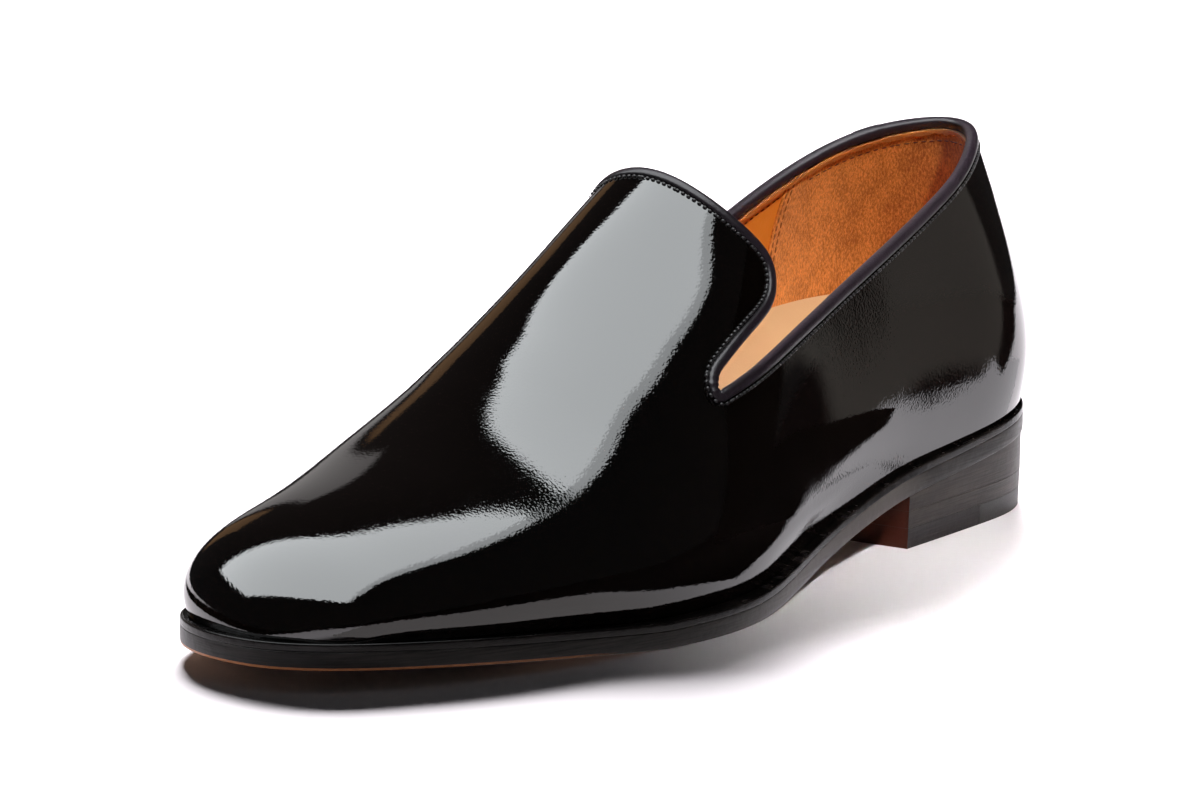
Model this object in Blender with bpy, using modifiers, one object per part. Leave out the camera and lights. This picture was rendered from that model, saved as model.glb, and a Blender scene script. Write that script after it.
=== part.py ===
"""Venetian loafer, left shoe, standing empty on its sole.

Metres, +Z up. +X runs from the heel to the toe and +Y to the wearer's left, which is
the outer side of the foot. The shoe stands on z = 0.

The tables are in millimetres, measured from the back of the heel along the shoe.
"""
import math

import bmesh
import bpy
import numpy as np

for leftover in list(bpy.data.objects):
    bpy.data.objects.remove(leftover, do_unlink=True)

MM = 0.001
MERGE = 0.00002

# Main sizes
SOLE_LENGTH = 300.0
TOE_TIP = 296.0
ORIGIN_X = 149.25
ORIGIN_Y = 0.5
GAP = 0.3

# Upper
WALL = 2.0
NOTCH_X = 167.0
NOTCH_RADIUS = 5.0
HEEL_ROUND = 46.0
TOE_CENTRE = -4.4
BACK_CENTRE = -1.5

# Binding round the opening
BINDING_WIDTH = 2.8
BINDING_PROUD = 0.4
BINDING_CHAMFER = 0.8

# Strip down the back
STRIP_THICK = 0.9
STRIP_REACH = 100.0
STRIP_FOOT = 0.03
STRIP_HEAD = 0.975

# Sole
OUTSOLE_THICK = 4.2
WELT_THICK = 2.0
WELT_WIDTH = 9.0
EDGE_CHAMFER = 0.6
FLAT_START = 172.0
FLAT_END = 205.0

# Insole
INSOLE_CLEAR = 2.8
INSOLE_DISH = 9.0

# Heel
BREAST_X = 77.6
LIFT_TOP = 9.6
LIFT_FOOT = 5.2
TOP_PIECE_JOINT = 42.0
HEEL_INSET_TOP = 0.5
HEEL_INSET_FLOOR = 1.2

# How finely the faceted surfaces are divided
QUARTER_COLUMNS = 22
QUARTER_SPREAD = 0.6
QUARTER_ROWS = 9
NOTCH_COLUMNS = 6
TONGUE_COLUMNS = 7
TONGUE_ROWS = 7
VAMP_ROWS = 20
OUTLINE_STEPS = 34
HEEL_STEPS = 14
JOINT_STEPS = 8
STRIP_COLUMNS = 12
STRIP_ROWS = 10

# Sections of the last
#   station, half width, centre, widest level, crest, crest shift, fullness
LAST = np.array([
    (30.0, 31.8, -1.7, 44.5, 109.0, -0.6, 0.005),
    (60.0, 32.0, -1.3, 41.5, 115.0, -1.4, 0.000),
    (95.0, 31.8, 1.2, 36.0, 117.0, -2.5, 0.000),
    (130.0, 35.5, 3.2, 29.3, 110.5, -3.7, 0.000),
    (160.0, 43.3, 3.7, 23.3, 92.3, -4.6, 0.010),
    (190.0, 48.0, 1.7, 18.8, 72.3, -4.4, 0.018),
    (215.0, 47.1, -1.2, 17.0, 57.9, -3.2, 0.012),
    (240.0, 43.1, -3.4, 16.9, 47.3, -1.8, 0.005),
    (262.0, 37.0, -5.7, 17.0, 41.0, -0.6, 0.000),
    (280.0, 30.6, -8.3, 16.2, 34.3, 0.5, 0.000),
])

# Back of the heel seen from the side
#   height, station of the back
BACK_CURVE = np.array([
    (24.0, 1.6),
    (40.0, 0.0),
    (55.0, 2.7),
    (75.0, 7.6),
    (98.0, 10.6),
])

# Edge of the leather along the top of the quarters
#   station, height
TOPLINE = np.array([
    (6.0, 94.0),
    (24.0, 91.7),
    (40.0, 86.9),
    (60.0, 80.6),
    (80.0, 74.6),
    (100.0, 68.9),
    (120.0, 63.7),
    (140.0, 59.3),
    (158.0, 55.6),
    (170.0, 53.2),
])

# Dip of the topline on the inner side, below the outer side
INNER_DIP = 2.0
DIP_START = 12.0
DIP_END = 150.0

# Lower edge of the tongue, from the notch back to its corner
#   station, angle round the section in degrees
TONGUE_SIDE = np.array([
    (167.0, 39.2),
    (158.0, 38.8),
    (149.0, 37.6),
    (142.0, 37.0),
    (137.8, 38.2),
    (136.0, 40.9),
])

# End of the tongue, from its corner up to the crest
#   station, angle round the section in degrees
TONGUE_END = np.array([
    (136.0, 40.9),
    (136.6, 44.5),
    (140.2, 52.5),
    (143.6, 62.5),
    (145.6, 72.0),
    (146.6, 82.0),
    (146.8, 90.0),
])

# Outline of the sole
#   station, outer half, inner half
SOLE_OUTLINE = np.array([
    (25.0, 27.5, 30.5),
    (45.0, 30.2, 33.5),
    (70.0, 32.0, 33.5),
    (100.0, 34.5, 30.5),
    (130.0, 40.5, 33.0),
    (160.0, 49.3, 41.0),
    (185.0, 53.0, 48.0),
    (210.0, 50.4, 51.6),
    (235.0, 44.4, 51.0),
    (258.0, 36.2, 46.5),
    (280.0, 24.3, 39.5),
])

# Underside of the outsole
#   station, height
SOLE_UNDERSIDE = np.array([
    (0.0, 20.6),
    (27.0, 18.2),
    (54.0, 15.7),
    (80.0, 13.3),
    (100.0, 9.8),
    (130.0, 4.3),
    (156.0, 0.8),
    (172.0, 0.0),
    (188.0, 0.0),
    (205.0, 0.0),
    (222.0, 1.1),
    (250.0, 3.0),
    (280.0, 4.6),
    (300.0, 5.4),
])

# Top of the insole over the upper's lower edge: its middle, and the rims that cup the heel
#   station, middle, outer rim, inner rim
INSOLE_TOP = np.array([
    (0.0, 16.0, 21.0, 22.0),
    (40.0, 16.5, 21.5, 26.5),
    (65.0, 15.0, 19.0, 27.0),
    (95.0, 11.0, 14.0, 20.0),
    (130.0, 6.0, 8.0, 10.0),
    (165.0, 3.5, 4.5, 4.8),
    (200.0, 3.0, 3.3, 3.3),
    (250.0, 3.0, 3.2, 3.2),
    (296.0, 3.0, 3.2, 3.2),
])

# Half width of the strip down the back
#   share of the height, half width
STRIP_HALF = np.array([
    (0.0, 19.0),
    (0.4, 17.5),
    (0.7, 14.5),
    (1.0, 11.5),
])


def spline(xs, ys):
    """Natural cubic through the rows of a table, carried on past its ends."""
    xs = np.asarray(xs, float)
    ys = np.asarray(ys, float)
    count = len(xs)
    step = np.diff(xs)
    matrix = np.eye(count)
    right = np.zeros(count)
    for i in range(1, count - 1):
        matrix[i, i - 1] = step[i - 1]
        matrix[i, i] = 2.0 * (step[i - 1] + step[i])
        matrix[i, i + 1] = step[i]
        right[i] = 6.0 * ((ys[i + 1] - ys[i]) / step[i] - (ys[i] - ys[i - 1]) / step[i - 1])
    bend = np.linalg.solve(matrix, right)

    def value(x):
        x = np.asarray(x, float)
        i = np.clip(np.searchsorted(xs, x) - 1, 0, count - 2)
        a = xs[i + 1] - x
        b = x - xs[i]
        h = step[i]
        cubic = (bend[i] * a ** 3 + bend[i + 1] * b ** 3) / (6.0 * h)
        line = (ys[i] / h - bend[i] * h / 6.0) * a + (ys[i + 1] / h - bend[i + 1] * h / 6.0) * b
        return cubic + line

    return value


underside_curve = spline(SOLE_UNDERSIDE[:, 0], SOLE_UNDERSIDE[:, 1])


def underside(x):
    """Height of the outsole's underside, flat on the floor under the ball."""
    x = np.asarray(x, float)
    level = np.maximum(underside_curve(x), 0.0)
    return np.where((x >= FLAT_START) & (x <= FLAT_END), 0.0, level)


def welt_top(x):
    return underside(x) + OUTSOLE_THICK + GAP + WELT_THICK


def feather(x):
    """Height of the upper's lower edge, just clear of the welt."""
    return welt_top(x) + GAP


def nose(x):
    """Stations counted so that widths close on the toe as a round nose does."""
    return np.sqrt(np.maximum(TOE_TIP - np.asarray(x, float), 0.0))


def nose_spline(values):
    return spline(np.append(0.0, nose(LAST[::-1, 0])), np.append(0.0, values[::-1]))


def station_spline(column, at_tip):
    return spline(np.append(LAST[:, 0], TOE_TIP), np.append(LAST[:, column], at_tip))


half_width = nose_spline(LAST[:, 1])
rise_above = nose_spline(LAST[:, 4] - LAST[:, 3])
drop_below = nose_spline(LAST[:, 3] - feather(LAST[:, 0]))
centre_line = station_spline(2, TOE_CENTRE)
crest_shift = station_spline(5, 0.0)
fullness = station_spline(6, 0.0)
back_curve = spline(BACK_CURVE[:, 0], BACK_CURVE[:, 1])
topline = spline(TOPLINE[:, 0], TOPLINE[:, 1])
strip_half = spline(STRIP_HALF[:, 0], STRIP_HALF[:, 1])
insole_middle = spline(INSOLE_TOP[:, 0], INSOLE_TOP[:, 1])
insole_outer_rim = spline(INSOLE_TOP[:, 0], INSOLE_TOP[:, 2])
insole_inner_rim = spline(INSOLE_TOP[:, 0], INSOLE_TOP[:, 3])


def topline_on(x, inner):
    """Height of the leather's top edge, a little lower along the inner side."""
    share = np.clip((x - DIP_START) / (DIP_END - DIP_START), 0.0, 1.0)
    return topline(x) - np.where(inner, INNER_DIP * np.sin(math.pi * share) ** 2, 0.0)


def arch_out(angle, full):
    return np.cos(angle) + full * (np.cos(3.0 * angle) - np.cos(angle))


def arch_up(angle, full):
    return np.sin(angle) - full * (np.sin(3.0 * angle) + np.sin(angle))


def widest_level(x):
    return feather(x) + np.maximum(drop_below(nose(x)), 0.0)


def angle_at(x, z):
    """Angle round the section at which the last reaches height z, below its crest."""
    full = fullness(x)
    rise = np.maximum(rise_above(nose(x)), 1e-6)
    wanted = np.clip((z - widest_level(x)) / rise, -0.9, 0.99)
    angle = np.arcsin(wanted)
    for _ in range(6):
        slope = np.cos(angle) - full * (3.0 * np.cos(3.0 * angle) + np.cos(angle))
        angle = angle - (arch_up(angle, full) - wanted) / np.maximum(slope, 0.1)
    return angle


def last_point(x, angle):
    """Point of the last at a station and an angle, from the outer side over the crest."""
    x, angle = np.broadcast_arrays(np.asarray(x, float), angle)
    full = fullness(x)
    z = widest_level(x) + np.maximum(rise_above(nose(x)), 0.0) * arch_up(angle, full)
    into = np.clip((x - back_curve(z)) / HEEL_ROUND, 0.0, 1.0)
    closing = np.sqrt(1.0 - (1.0 - into) ** 3)
    y = centre_line(x) + half_width(nose(x)) * arch_out(angle, full) * closing
    y = y + crest_shift(x) * np.sin(angle) ** 2
    return np.stack([x, y, z], axis=-1)


def quarter_point(u, v):
    """Outer face of the quarters: u from the inner notch round the heel to the outer
    notch, v from the feather to the topline."""
    u, v = np.broadcast_arrays(np.asarray(u, float), np.asarray(v, float))
    along = np.abs(u) ** 2 * (1.0 + QUARTER_SPREAD - QUARTER_SPREAD * np.abs(u))
    z = np.full(u.shape, 0.5 * TOPLINE[0, 1])
    for _ in range(8):
        back = back_curve(z)
        x = back + (NOTCH_X - back) * along
        low = angle_at(x, feather(x))
        high = angle_at(x, topline_on(x, u < 0.0))
        angle = low + v * (high - low)
        z = widest_level(x) + rise_above(nose(x)) * arch_up(angle, fullness(x))
    return last_point(x, np.where(u < 0.0, math.pi - angle, angle))


def row_curve(table, share):
    """Point part of the way along the rows of an edge table, in station and angle."""
    rows = np.arange(len(table))
    at = np.asarray(share, float) * (len(table) - 1)
    return spline(rows, table[:, 0])(at), np.radians(spline(rows, table[:, 1])(at))


def tongue_point(w, p):
    """Outer face of the tongue: w from its outer edge to its inner edge, p from the notch
    back to its end."""
    w, p = np.broadcast_arrays(np.asarray(w, float), np.asarray(p, float))
    inner = w > 0.5
    h = np.where(inner, 2.0 - 2.0 * w, 2.0 * w)
    side_x, side_a = row_curve(TONGUE_SIDE, p)
    end_x, end_a = row_curve(TONGUE_END, h)
    start_a = np.radians(TONGUE_SIDE[0, 1])
    corner_x = TONGUE_END[0, 0]
    corner_a = np.radians(TONGUE_END[0, 1])
    crest_x = TONGUE_END[-1, 0]
    half_turn = math.pi / 2.0
    x = (1 - h) * side_x + h * (NOTCH_X + (crest_x - NOTCH_X) * p)
    x = x + (1 - p) * NOTCH_X + p * end_x
    x = x - (1 - p) * NOTCH_X - p * ((1 - h) * corner_x + h * crest_x)
    angle = (1 - h) * side_a + h * half_turn
    angle = angle + (1 - p) * (start_a + (half_turn - start_a) * h) + p * end_a
    angle = angle - (1 - p) * ((1 - h) * start_a + h * half_turn)
    angle = angle - p * ((1 - h) * corner_a + h * half_turn)
    return last_point(x, np.where(inner, math.pi - angle, angle))


def vamp_columns():
    """Where each column of the vamp starts behind: its station and its share of the
    section from the outer feather to the inner one."""
    low = angle_at(NOTCH_X, feather(NOTCH_X))
    high = angle_at(NOTCH_X, topline(NOTCH_X))
    tongue = np.radians(TONGUE_SIDE[0, 1])
    angles = list(low + np.linspace(0.0, 1.0, QUARTER_ROWS + 1) * (high - low))
    starts = [NOTCH_X] * len(angles)
    for i in range(1, NOTCH_COLUMNS):
        turn = math.pi * (i / NOTCH_COLUMNS - 0.5)
        angles.append(0.5 * (high + tongue) + 0.5 * (tongue - high) * math.sin(turn))
        starts.append(NOTCH_X + NOTCH_RADIUS * math.cos(turn))
    for w in np.linspace(0.0, 0.5, TONGUE_COLUMNS + 1):
        angles.append(tongue + (math.pi / 2.0 - tongue) * 2.0 * w)
        starts.append(NOTCH_X)
    starts = np.array(starts)
    low = angle_at(starts, feather(starts))
    share = (np.array(angles) - low) / (math.pi - 2.0 * low)
    starts = np.append(starts, starts[-2::-1])
    share = np.append(share, 1.0 - share[-2::-1])
    return starts, share


def vamp_point(start, share, p):
    """Outer face of the vamp: p from the notch to the toe along one column."""
    x = TOE_TIP - (nose(start) * (1.0 - p)) ** 2
    low = angle_at(x, feather(x))
    return last_point(x, low + share * (math.pi - 2.0 * low))


def turn_at(x):
    """Angle along the sole's outline at a station: 0 at the back, half a turn at the toe."""
    return np.arccos(1.0 - 2.0 * np.asarray(x, float) / SOLE_LENGTH)


def outline_spline(values):
    turns = np.concatenate([[0.0], turn_at(SOLE_OUTLINE[:, 0]), [math.pi]])
    return spline(turns, np.concatenate([[BACK_CENTRE], values, [TOE_CENTRE]]))


outer_half = outline_spline(SOLE_OUTLINE[:, 1])
inner_half = outline_spline(-SOLE_OUTLINE[:, 2])


def sole_side(turn, side):
    """Outline of the sole on one side, 1 for the outer and -1 for the inner."""
    x = SOLE_LENGTH * (1.0 - np.cos(turn)) / 2.0
    return np.stack([x, outer_half(turn) if side > 0 else inner_half(turn)], axis=-1)


def last_side(level):
    """Outline of the upper at a level, on one side, as the sole's outline is given."""
    back = 0.0
    for _ in range(8):
        back = float(back_curve(level(back)))

    def curve(turn, side):
        x = back + (TOE_TIP - back) * (1.0 - np.cos(turn)) / 2.0
        angle = angle_at(x, level(x))
        return last_point(x, angle if side > 0 else math.pi - angle)[..., :2]

    return curve


def inset(curve, turn, side, distance):
    """An outline moved inwards by a distance."""
    step = 0.001
    turn = np.asarray(turn, float)
    a = np.clip(turn - step, 0.0, math.pi)
    b = np.clip(turn + step, 0.0, math.pi)
    along = curve(b, side) - curve(a, side)
    along = along / np.linalg.norm(along, axis=-1, keepdims=True)
    inward = side * np.stack([along[..., 1], -along[..., 0]], axis=-1)
    return curve(turn, side) + inward * distance


def raised(flat, height):
    """Plan points with a height, which is a number or a function of the station."""
    z = height(flat[..., 0]) if callable(height) else np.full(flat.shape[:-1], height)
    return np.concatenate([flat, z[..., None]], axis=-1)


def place(point):
    """From the tables' millimetres to the shoe's own frame in metres."""
    return ((point[0] - ORIGIN_X) * MM, (point[1] - ORIGIN_Y) * MM, point[2] * MM)


def add_grid(mesh, points):
    """Quads over a grid of points, returned as rows of vertices."""
    rows = [[mesh.verts.new(place(p)) for p in row] for row in points]
    for a, b in zip(rows, rows[1:]):
        for i in range(len(a) - 1):
            mesh.faces.new((a[i], a[i + 1], b[i + 1], b[i]))
    return rows


def add_loft(mesh, rings, closed):
    """Skin through rings of points, closed on itself or capped at both ends."""
    rows = [[mesh.verts.new(place(p)) for p in ring] for ring in rings]
    pairs = list(zip(rows, rows[1:]))
    if closed:
        pairs.append((rows[-1], rows[0]))
    else:
        mesh.faces.new(rows[0])
        mesh.faces.new(rows[-1])
    for a, b in pairs:
        for i in range(len(a)):
            j = (i + 1) % len(a)
            mesh.faces.new((a[i], a[j], b[j], b[i]))


def add_part(mesh, name, colour, roughness):
    """Put a mesh in the shoe's collection with its own material."""
    data = bpy.data.meshes.new(name)
    mesh.to_mesh(data)
    mesh.free()
    part = bpy.data.objects.new(name, data)
    shoe.objects.link(part)
    material = bpy.data.materials.new(name)
    material.use_nodes = True
    shader = material.node_tree.nodes["Principled BSDF"]
    shader.inputs["Base Color"].default_value = (*colour, 1.0)
    shader.inputs["Roughness"].default_value = roughness
    data.materials.append(material)
    return part


def thicken(part, thickness, offset):
    wall = part.modifiers.new("wall", "SOLIDIFY")
    wall.thickness = thickness * MM
    wall.offset = offset
    wall.use_even_offset = True
    wall.use_quality_normals = True


def loft_part(rings, closed, name, colour, roughness):
    """A closed solid through rings, with its faces turned outwards."""
    mesh = bmesh.new()
    add_loft(mesh, rings, closed)
    bmesh.ops.remove_doubles(mesh, verts=mesh.verts, dist=MERGE)
    bmesh.ops.recalc_face_normals(mesh, faces=mesh.faces)
    return add_part(mesh, name, colour, roughness)


def upper_sheet():
    """Outer face of the upper as one open sheet, with its opening and its feather edge."""
    mesh = bmesh.new()
    shares = np.linspace(0.0, 1.0, QUARTER_ROWS + 1)
    columns = np.linspace(-1.0, 1.0, 2 * QUARTER_COLUMNS + 1)
    add_grid(mesh, quarter_point(columns[:, None], shares[None, :]))
    across = np.linspace(0.0, 1.0, 2 * TONGUE_COLUMNS + 1)
    along = np.linspace(0.0, 1.0, TONGUE_ROWS + 1)
    add_grid(mesh, tongue_point(across[None, :], along[:, None]))
    starts, share = vamp_columns()
    steps = np.linspace(0.0, 1.0, VAMP_ROWS + 1)[:-1]
    rows = add_grid(mesh, [vamp_point(starts, share, p) for p in steps])
    tip = mesh.verts.new(place(vamp_point(starts, share, 1.0)[0]))
    for a, b in zip(rows[-1], rows[-1][1:]):
        mesh.faces.new((a, b, tip))
    bmesh.ops.remove_doubles(mesh, verts=mesh.verts, dist=MERGE)
    bmesh.ops.recalc_face_normals(mesh, faces=mesh.faces)
    if sum(face.normal.z * face.calc_area() for face in mesh.faces) < 0.0:
        bmesh.ops.reverse_faces(mesh, faces=mesh.faces)
    mesh.normal_update()
    return mesh


def opening_ring(mesh):
    """The vertices round the opening of the upper, in order."""
    border = {vert for edge in mesh.edges if edge.is_boundary for vert in edge.verts}
    start = max(border, key=lambda vert: vert.co.z)
    ring = [start]
    before = None
    while True:
        here = ring[-1]
        ahead = [edge.other_vert(here) for edge in here.link_edges if edge.is_boundary]
        following = ahead[0] if ahead[0] is not before else ahead[1]
        if following is start:
            return ring
        before = here
        ring.append(following)


def make_upper():
    part = add_part(upper_sheet(), "upper", (0.008, 0.008, 0.009), 0.08)
    thicken(part, WALL, -1.0)


def make_binding():
    """Rolled strip along the edge of the opening, a little proud of the leather."""
    sheet = upper_sheet()
    ring = opening_ring(sheet)
    near = GAP
    far = GAP + BINDING_WIDTH
    top = BINDING_PROUD
    low = -WALL - 0.5 * BINDING_PROUD
    c = BINDING_CHAMFER
    section = [(near, low + GAP), (near, top - GAP), (near + GAP, top), (far - c, top),
               (far, top - c), (far, low + c), (far - c, low), (near + GAP, low)]
    corner = np.array([ORIGIN_X, ORIGIN_Y, 0.0])
    rings = []
    for i, vert in enumerate(ring):
        ahead = ring[(i + 1) % len(ring)].co - vert.co
        behind = vert.co - ring[i - 1].co
        along = (ahead.normalized() + behind.normalized()).normalized()
        outward = (vert.normal - along * vert.normal.dot(along)).normalized()
        into = along.cross(outward)
        if sum((edge.other_vert(vert).co - vert.co).dot(into) for edge in vert.link_edges) > 0.0:
            into = -into
        base = np.array(vert.co) / MM + corner
        rings.append([base + np.array(into) * b + np.array(outward) * n for b, n in section])
    sheet.free()
    loft_part(rings, True, "topline_binding", (0.035, 0.026, 0.036), 0.5)


def make_back_strip():
    """Raised strip up the back of the heel, laid on the quarters."""
    mesh = bmesh.new()
    shares = np.linspace(STRIP_FOOT, STRIP_HEAD, STRIP_ROWS + 1)
    across = np.linspace(-1.0, 1.0, STRIP_COLUMNS + 1)
    reach = across[None, :] * strip_half(shares)[:, None] / STRIP_REACH
    add_grid(mesh, quarter_point(reach, shares[:, None]))
    mesh.normal_update()
    if sum(face.normal.x for face in mesh.faces) > 0.0:
        bmesh.ops.reverse_faces(mesh, faces=mesh.faces)
    mesh.normal_update()
    lifted = [vert.co + vert.normal * GAP * MM for vert in mesh.verts]
    for vert, spot in zip(mesh.verts, lifted):
        vert.co = spot
    part = add_part(mesh, "back_strip", (0.012, 0.011, 0.011), 0.12)
    thicken(part, STRIP_THICK, 1.0)


def outline_turns():
    """Stations round half of the outline, with the ends of the flat spot among them."""
    even = np.linspace(0.0, math.pi, OUTLINE_STEPS + 1)
    return np.sort(np.append(even, turn_at([FLAT_START, FLAT_END])))


def make_outsole():
    turns = outline_turns()
    chamfered = lambda x: underside(x) + EDGE_CHAMFER
    top = lambda x: underside(x) + OUTSOLE_THICK
    rows = []
    for side in (1, -1):
        rim = inset(sole_side, turns, side, 0.0)
        rows.append(raised(inset(sole_side, turns, side, EDGE_CHAMFER), underside))
        rows.append(raised(rim, chamfered))
        rows.append(raised(rim, top))
    order = [rows[0], rows[1], rows[2], rows[5], rows[4], rows[3]]
    loft_part(np.stack(order, axis=1), False, "outsole", (0.42, 0.20, 0.08), 0.55)


def make_welt():
    """Flat strip round the upper, on the outsole's edge."""
    half = outline_turns()
    foot = lambda x: underside(x) + OUTSOLE_THICK + GAP
    shoulder = lambda x: welt_top(x) - EDGE_CHAMFER
    rings = []
    for side, turns in ((1, half), (-1, half[-2:0:-1])):
        rim = inset(sole_side, turns, side, 0.0)
        edge = inset(sole_side, turns, side, EDGE_CHAMFER)
        inner = inset(sole_side, turns, side, WELT_WIDTH)
        section = [raised(rim, foot), raised(rim, shoulder), raised(edge, welt_top),
                   raised(inner, welt_top), raised(inner, foot)]
        rings.extend(np.stack(section, axis=1))
    loft_part(rings, True, "welt", (0.018, 0.015, 0.014), 0.35)


def make_insole():
    """Insole inside the upper: dished at the heel, its edge cut back underneath to drop
    inside the welt."""
    turns = np.linspace(0.0, math.pi, OUTLINE_STEPS + 1)
    foot = lambda x: underside(x) + OUTSOLE_THICK + GAP
    middle = lambda x: feather(x) + insole_middle(x)
    rows = []
    for side, rim_rise in ((1, insole_outer_rim), (-1, insole_inner_rim)):
        rim = lambda x: feather(x) + rim_rise(x)
        plug = inset(sole_side, turns, side, WELT_WIDTH + GAP)
        plate = inset(last_side(feather), turns, side, INSOLE_CLEAR)
        cup = inset(last_side(rim), turns, side, INSOLE_CLEAR)
        dish = inset(last_side(middle), turns, side, INSOLE_CLEAR + INSOLE_DISH)
        rows.extend([raised(plug, foot), raised(plug, feather), raised(plate, feather)])
        rows.extend([raised(cup, rim), raised(dish, middle)])
    half = len(rows) // 2
    order = rows[:half] + rows[:half - 1:-1]
    loft_part(np.stack(order, axis=1), False, "insole", (0.70, 0.45, 0.23), 0.6)


def heel_inset(height):
    """How far the heel's side stands in from the sole's edge at a height."""
    share = height / underside(BREAST_X)
    return HEEL_INSET_FLOOR + (HEEL_INSET_TOP - HEEL_INSET_FLOOR) * share


def heel_slab(start, end, floor, roof, steps, name, colour, roughness):
    """One layer of the heel between two stations."""
    turns = np.linspace(turn_at(start), turn_at(end), steps + 1)
    top = roof(BREAST_X) if callable(roof) else roof
    rows = []
    for side in (1, -1):
        rows.append(raised(inset(sole_side, turns, side, heel_inset(floor)), floor))
        rows.append(raised(inset(sole_side, turns, side, heel_inset(top)), roof))
    order = [rows[0], rows[1], rows[3], rows[2]]
    loft_part(np.stack(order, axis=1), False, name, colour, roughness)


def make_heel():
    """Stacked heel: a base fitted to the sole, a lift, and a top piece in two halves."""
    seat = lambda x: underside(x) - GAP
    leather = (0.035, 0.026, 0.022)
    rubber = (0.015, 0.015, 0.015)
    heel_slab(0.0, BREAST_X, LIFT_TOP, seat, HEEL_STEPS, "heel_base", leather, 0.4)
    heel_slab(0.0, BREAST_X, LIFT_FOOT, LIFT_TOP, HEEL_STEPS, "heel_lift", leather, 0.4)
    heel_slab(TOP_PIECE_JOINT + GAP, BREAST_X, 0.0, LIFT_FOOT, JOINT_STEPS,
              "heel_top_piece", leather, 0.45)
    heel_slab(0.0, TOP_PIECE_JOINT, 0.0, LIFT_FOOT, JOINT_STEPS,
              "heel_rubber_tip", rubber, 0.6)


shoe = bpy.data.collections.new("venetian_loafer")
bpy.context.scene.collection.children.link(shoe)
make_upper()
make_binding()
make_back_strip()
make_welt()
make_outsole()
make_insole()
make_heel()
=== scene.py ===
"""Looks of the venetian loafer, left shoe: black patent upper, rolled binding, tan lining,
burnished sole edge and stacked heel, on a pale floor under a long softbox.

The shoe's tables are in millimetres from the back of the heel, +X to the toe, +Y to the
outer side and +Z up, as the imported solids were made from.
"""
import math

import bmesh
import bpy
import numpy as np
from mathutils import Matrix, Vector


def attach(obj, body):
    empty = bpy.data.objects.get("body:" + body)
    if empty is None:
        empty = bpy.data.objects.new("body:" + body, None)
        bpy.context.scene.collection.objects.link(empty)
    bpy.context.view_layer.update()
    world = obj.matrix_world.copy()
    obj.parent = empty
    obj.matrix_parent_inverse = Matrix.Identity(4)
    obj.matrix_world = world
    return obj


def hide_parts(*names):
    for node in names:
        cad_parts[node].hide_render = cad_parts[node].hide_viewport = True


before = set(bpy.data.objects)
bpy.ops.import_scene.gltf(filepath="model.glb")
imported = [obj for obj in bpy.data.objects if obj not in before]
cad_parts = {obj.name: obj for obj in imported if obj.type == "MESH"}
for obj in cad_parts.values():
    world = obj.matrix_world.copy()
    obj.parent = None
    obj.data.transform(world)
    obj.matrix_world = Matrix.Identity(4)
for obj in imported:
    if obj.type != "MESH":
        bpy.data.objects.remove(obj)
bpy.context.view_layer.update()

MM = 0.001
MERGE = 0.000002

# Main sizes of the shoe
SOLE_LENGTH = 300.0
TOE_TIP = 296.0
ORIGIN_X = 149.25
ORIGIN_Y = 0.5
NOTCH_X = 167.0
NOTCH_RADIUS = 5.0
HEEL_ROUND = 46.0
TOE_CENTRE = -4.4
BACK_CENTRE = -1.5
QUARTER_SPREAD = 0.6

# Upper: the patent skin, the lining behind it and the slack between them
PATENT_THICK = 1.1
PATENT_IOR = 1.7
LINING_DEPTH = 1.2
LINING_THICK = 0.75
FEATHER_GAP = 0.02

# Sole
OUTSOLE_THICK = 4.48
FLAT_START = 172.0
FLAT_END = 205.0

# Sock on the insole: how far its edge stands in from the last, the width of its dish, and
# the height over the tread from which the insole's top is counted
SOCK_CLEAR = 2.1
SOCK_DISH = 17.0
INSOLE_FOOT = 6.8

# Heel
BREAST_X = 77.6
LIFT_TOP = 9.6
LIFT_FOOT = 5.2
TOP_PIECE_JOINT = 42.0
TOP_PIECE_SLIT = 0.3
HEEL_INSET_TOP = 0.5
HEEL_INSET_FLOOR = 1.2
LAYER_GAP = 0.03
LAYER_ROUND = 0.06

# How finely the surfaces are divided
QUARTER_COLUMNS = 84
QUARTER_ROWS = 36
NOTCH_COLUMNS = 12
TONGUE_COLUMNS = 28
TONGUE_ROWS = 30
VAMP_ROWS = 96
SOLE_STATIONS = 240
HEEL_STATIONS = 64
SOCK_STATIONS = 110
SOCK_ACROSS = 28
PATH_STEP = 0.8
BINDING_AROUND = 20
QUARTER_SAMPLES = 200

# How often a search for a level or an angle is repeated, and how often the edge is smoothed
LEVEL_ROUNDS = 8
ANGLE_ROUNDS = 6
SMOOTH_ROUNDS = 3

# How squarely a face looks down or forward to count as tread or as breast
FACING = 0.9

# Sections of the last
#   station, half width, centre, widest level, crest, crest shift, fullness
LAST = np.array([
    (30.0, 31.8, -1.7, 44.5, 109.0, -0.6, 0.005),
    (60.0, 32.0, -1.3, 41.5, 115.0, -1.4, 0.000),
    (95.0, 31.8, 1.2, 36.0, 117.0, -2.5, 0.000),
    (130.0, 35.5, 3.2, 29.3, 110.5, -3.7, 0.000),
    (160.0, 43.3, 3.7, 23.3, 92.3, -4.6, 0.010),
    (190.0, 48.0, 1.7, 18.8, 72.3, -4.4, 0.018),
    (215.0, 47.1, -1.2, 17.0, 57.9, -3.2, 0.012),
    (240.0, 43.1, -3.4, 16.9, 47.3, -1.8, 0.005),
    (262.0, 37.0, -5.7, 17.0, 41.0, -0.6, 0.000),
    (280.0, 30.6, -8.3, 16.2, 34.3, 0.5, 0.000),
])

# Back of the heel seen from the side
#   height, station of the back
BACK_CURVE = np.array([
    (24.0, 1.6),
    (40.0, 0.0),
    (55.0, 2.7),
    (75.0, 7.6),
    (98.0, 10.6),
])

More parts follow.
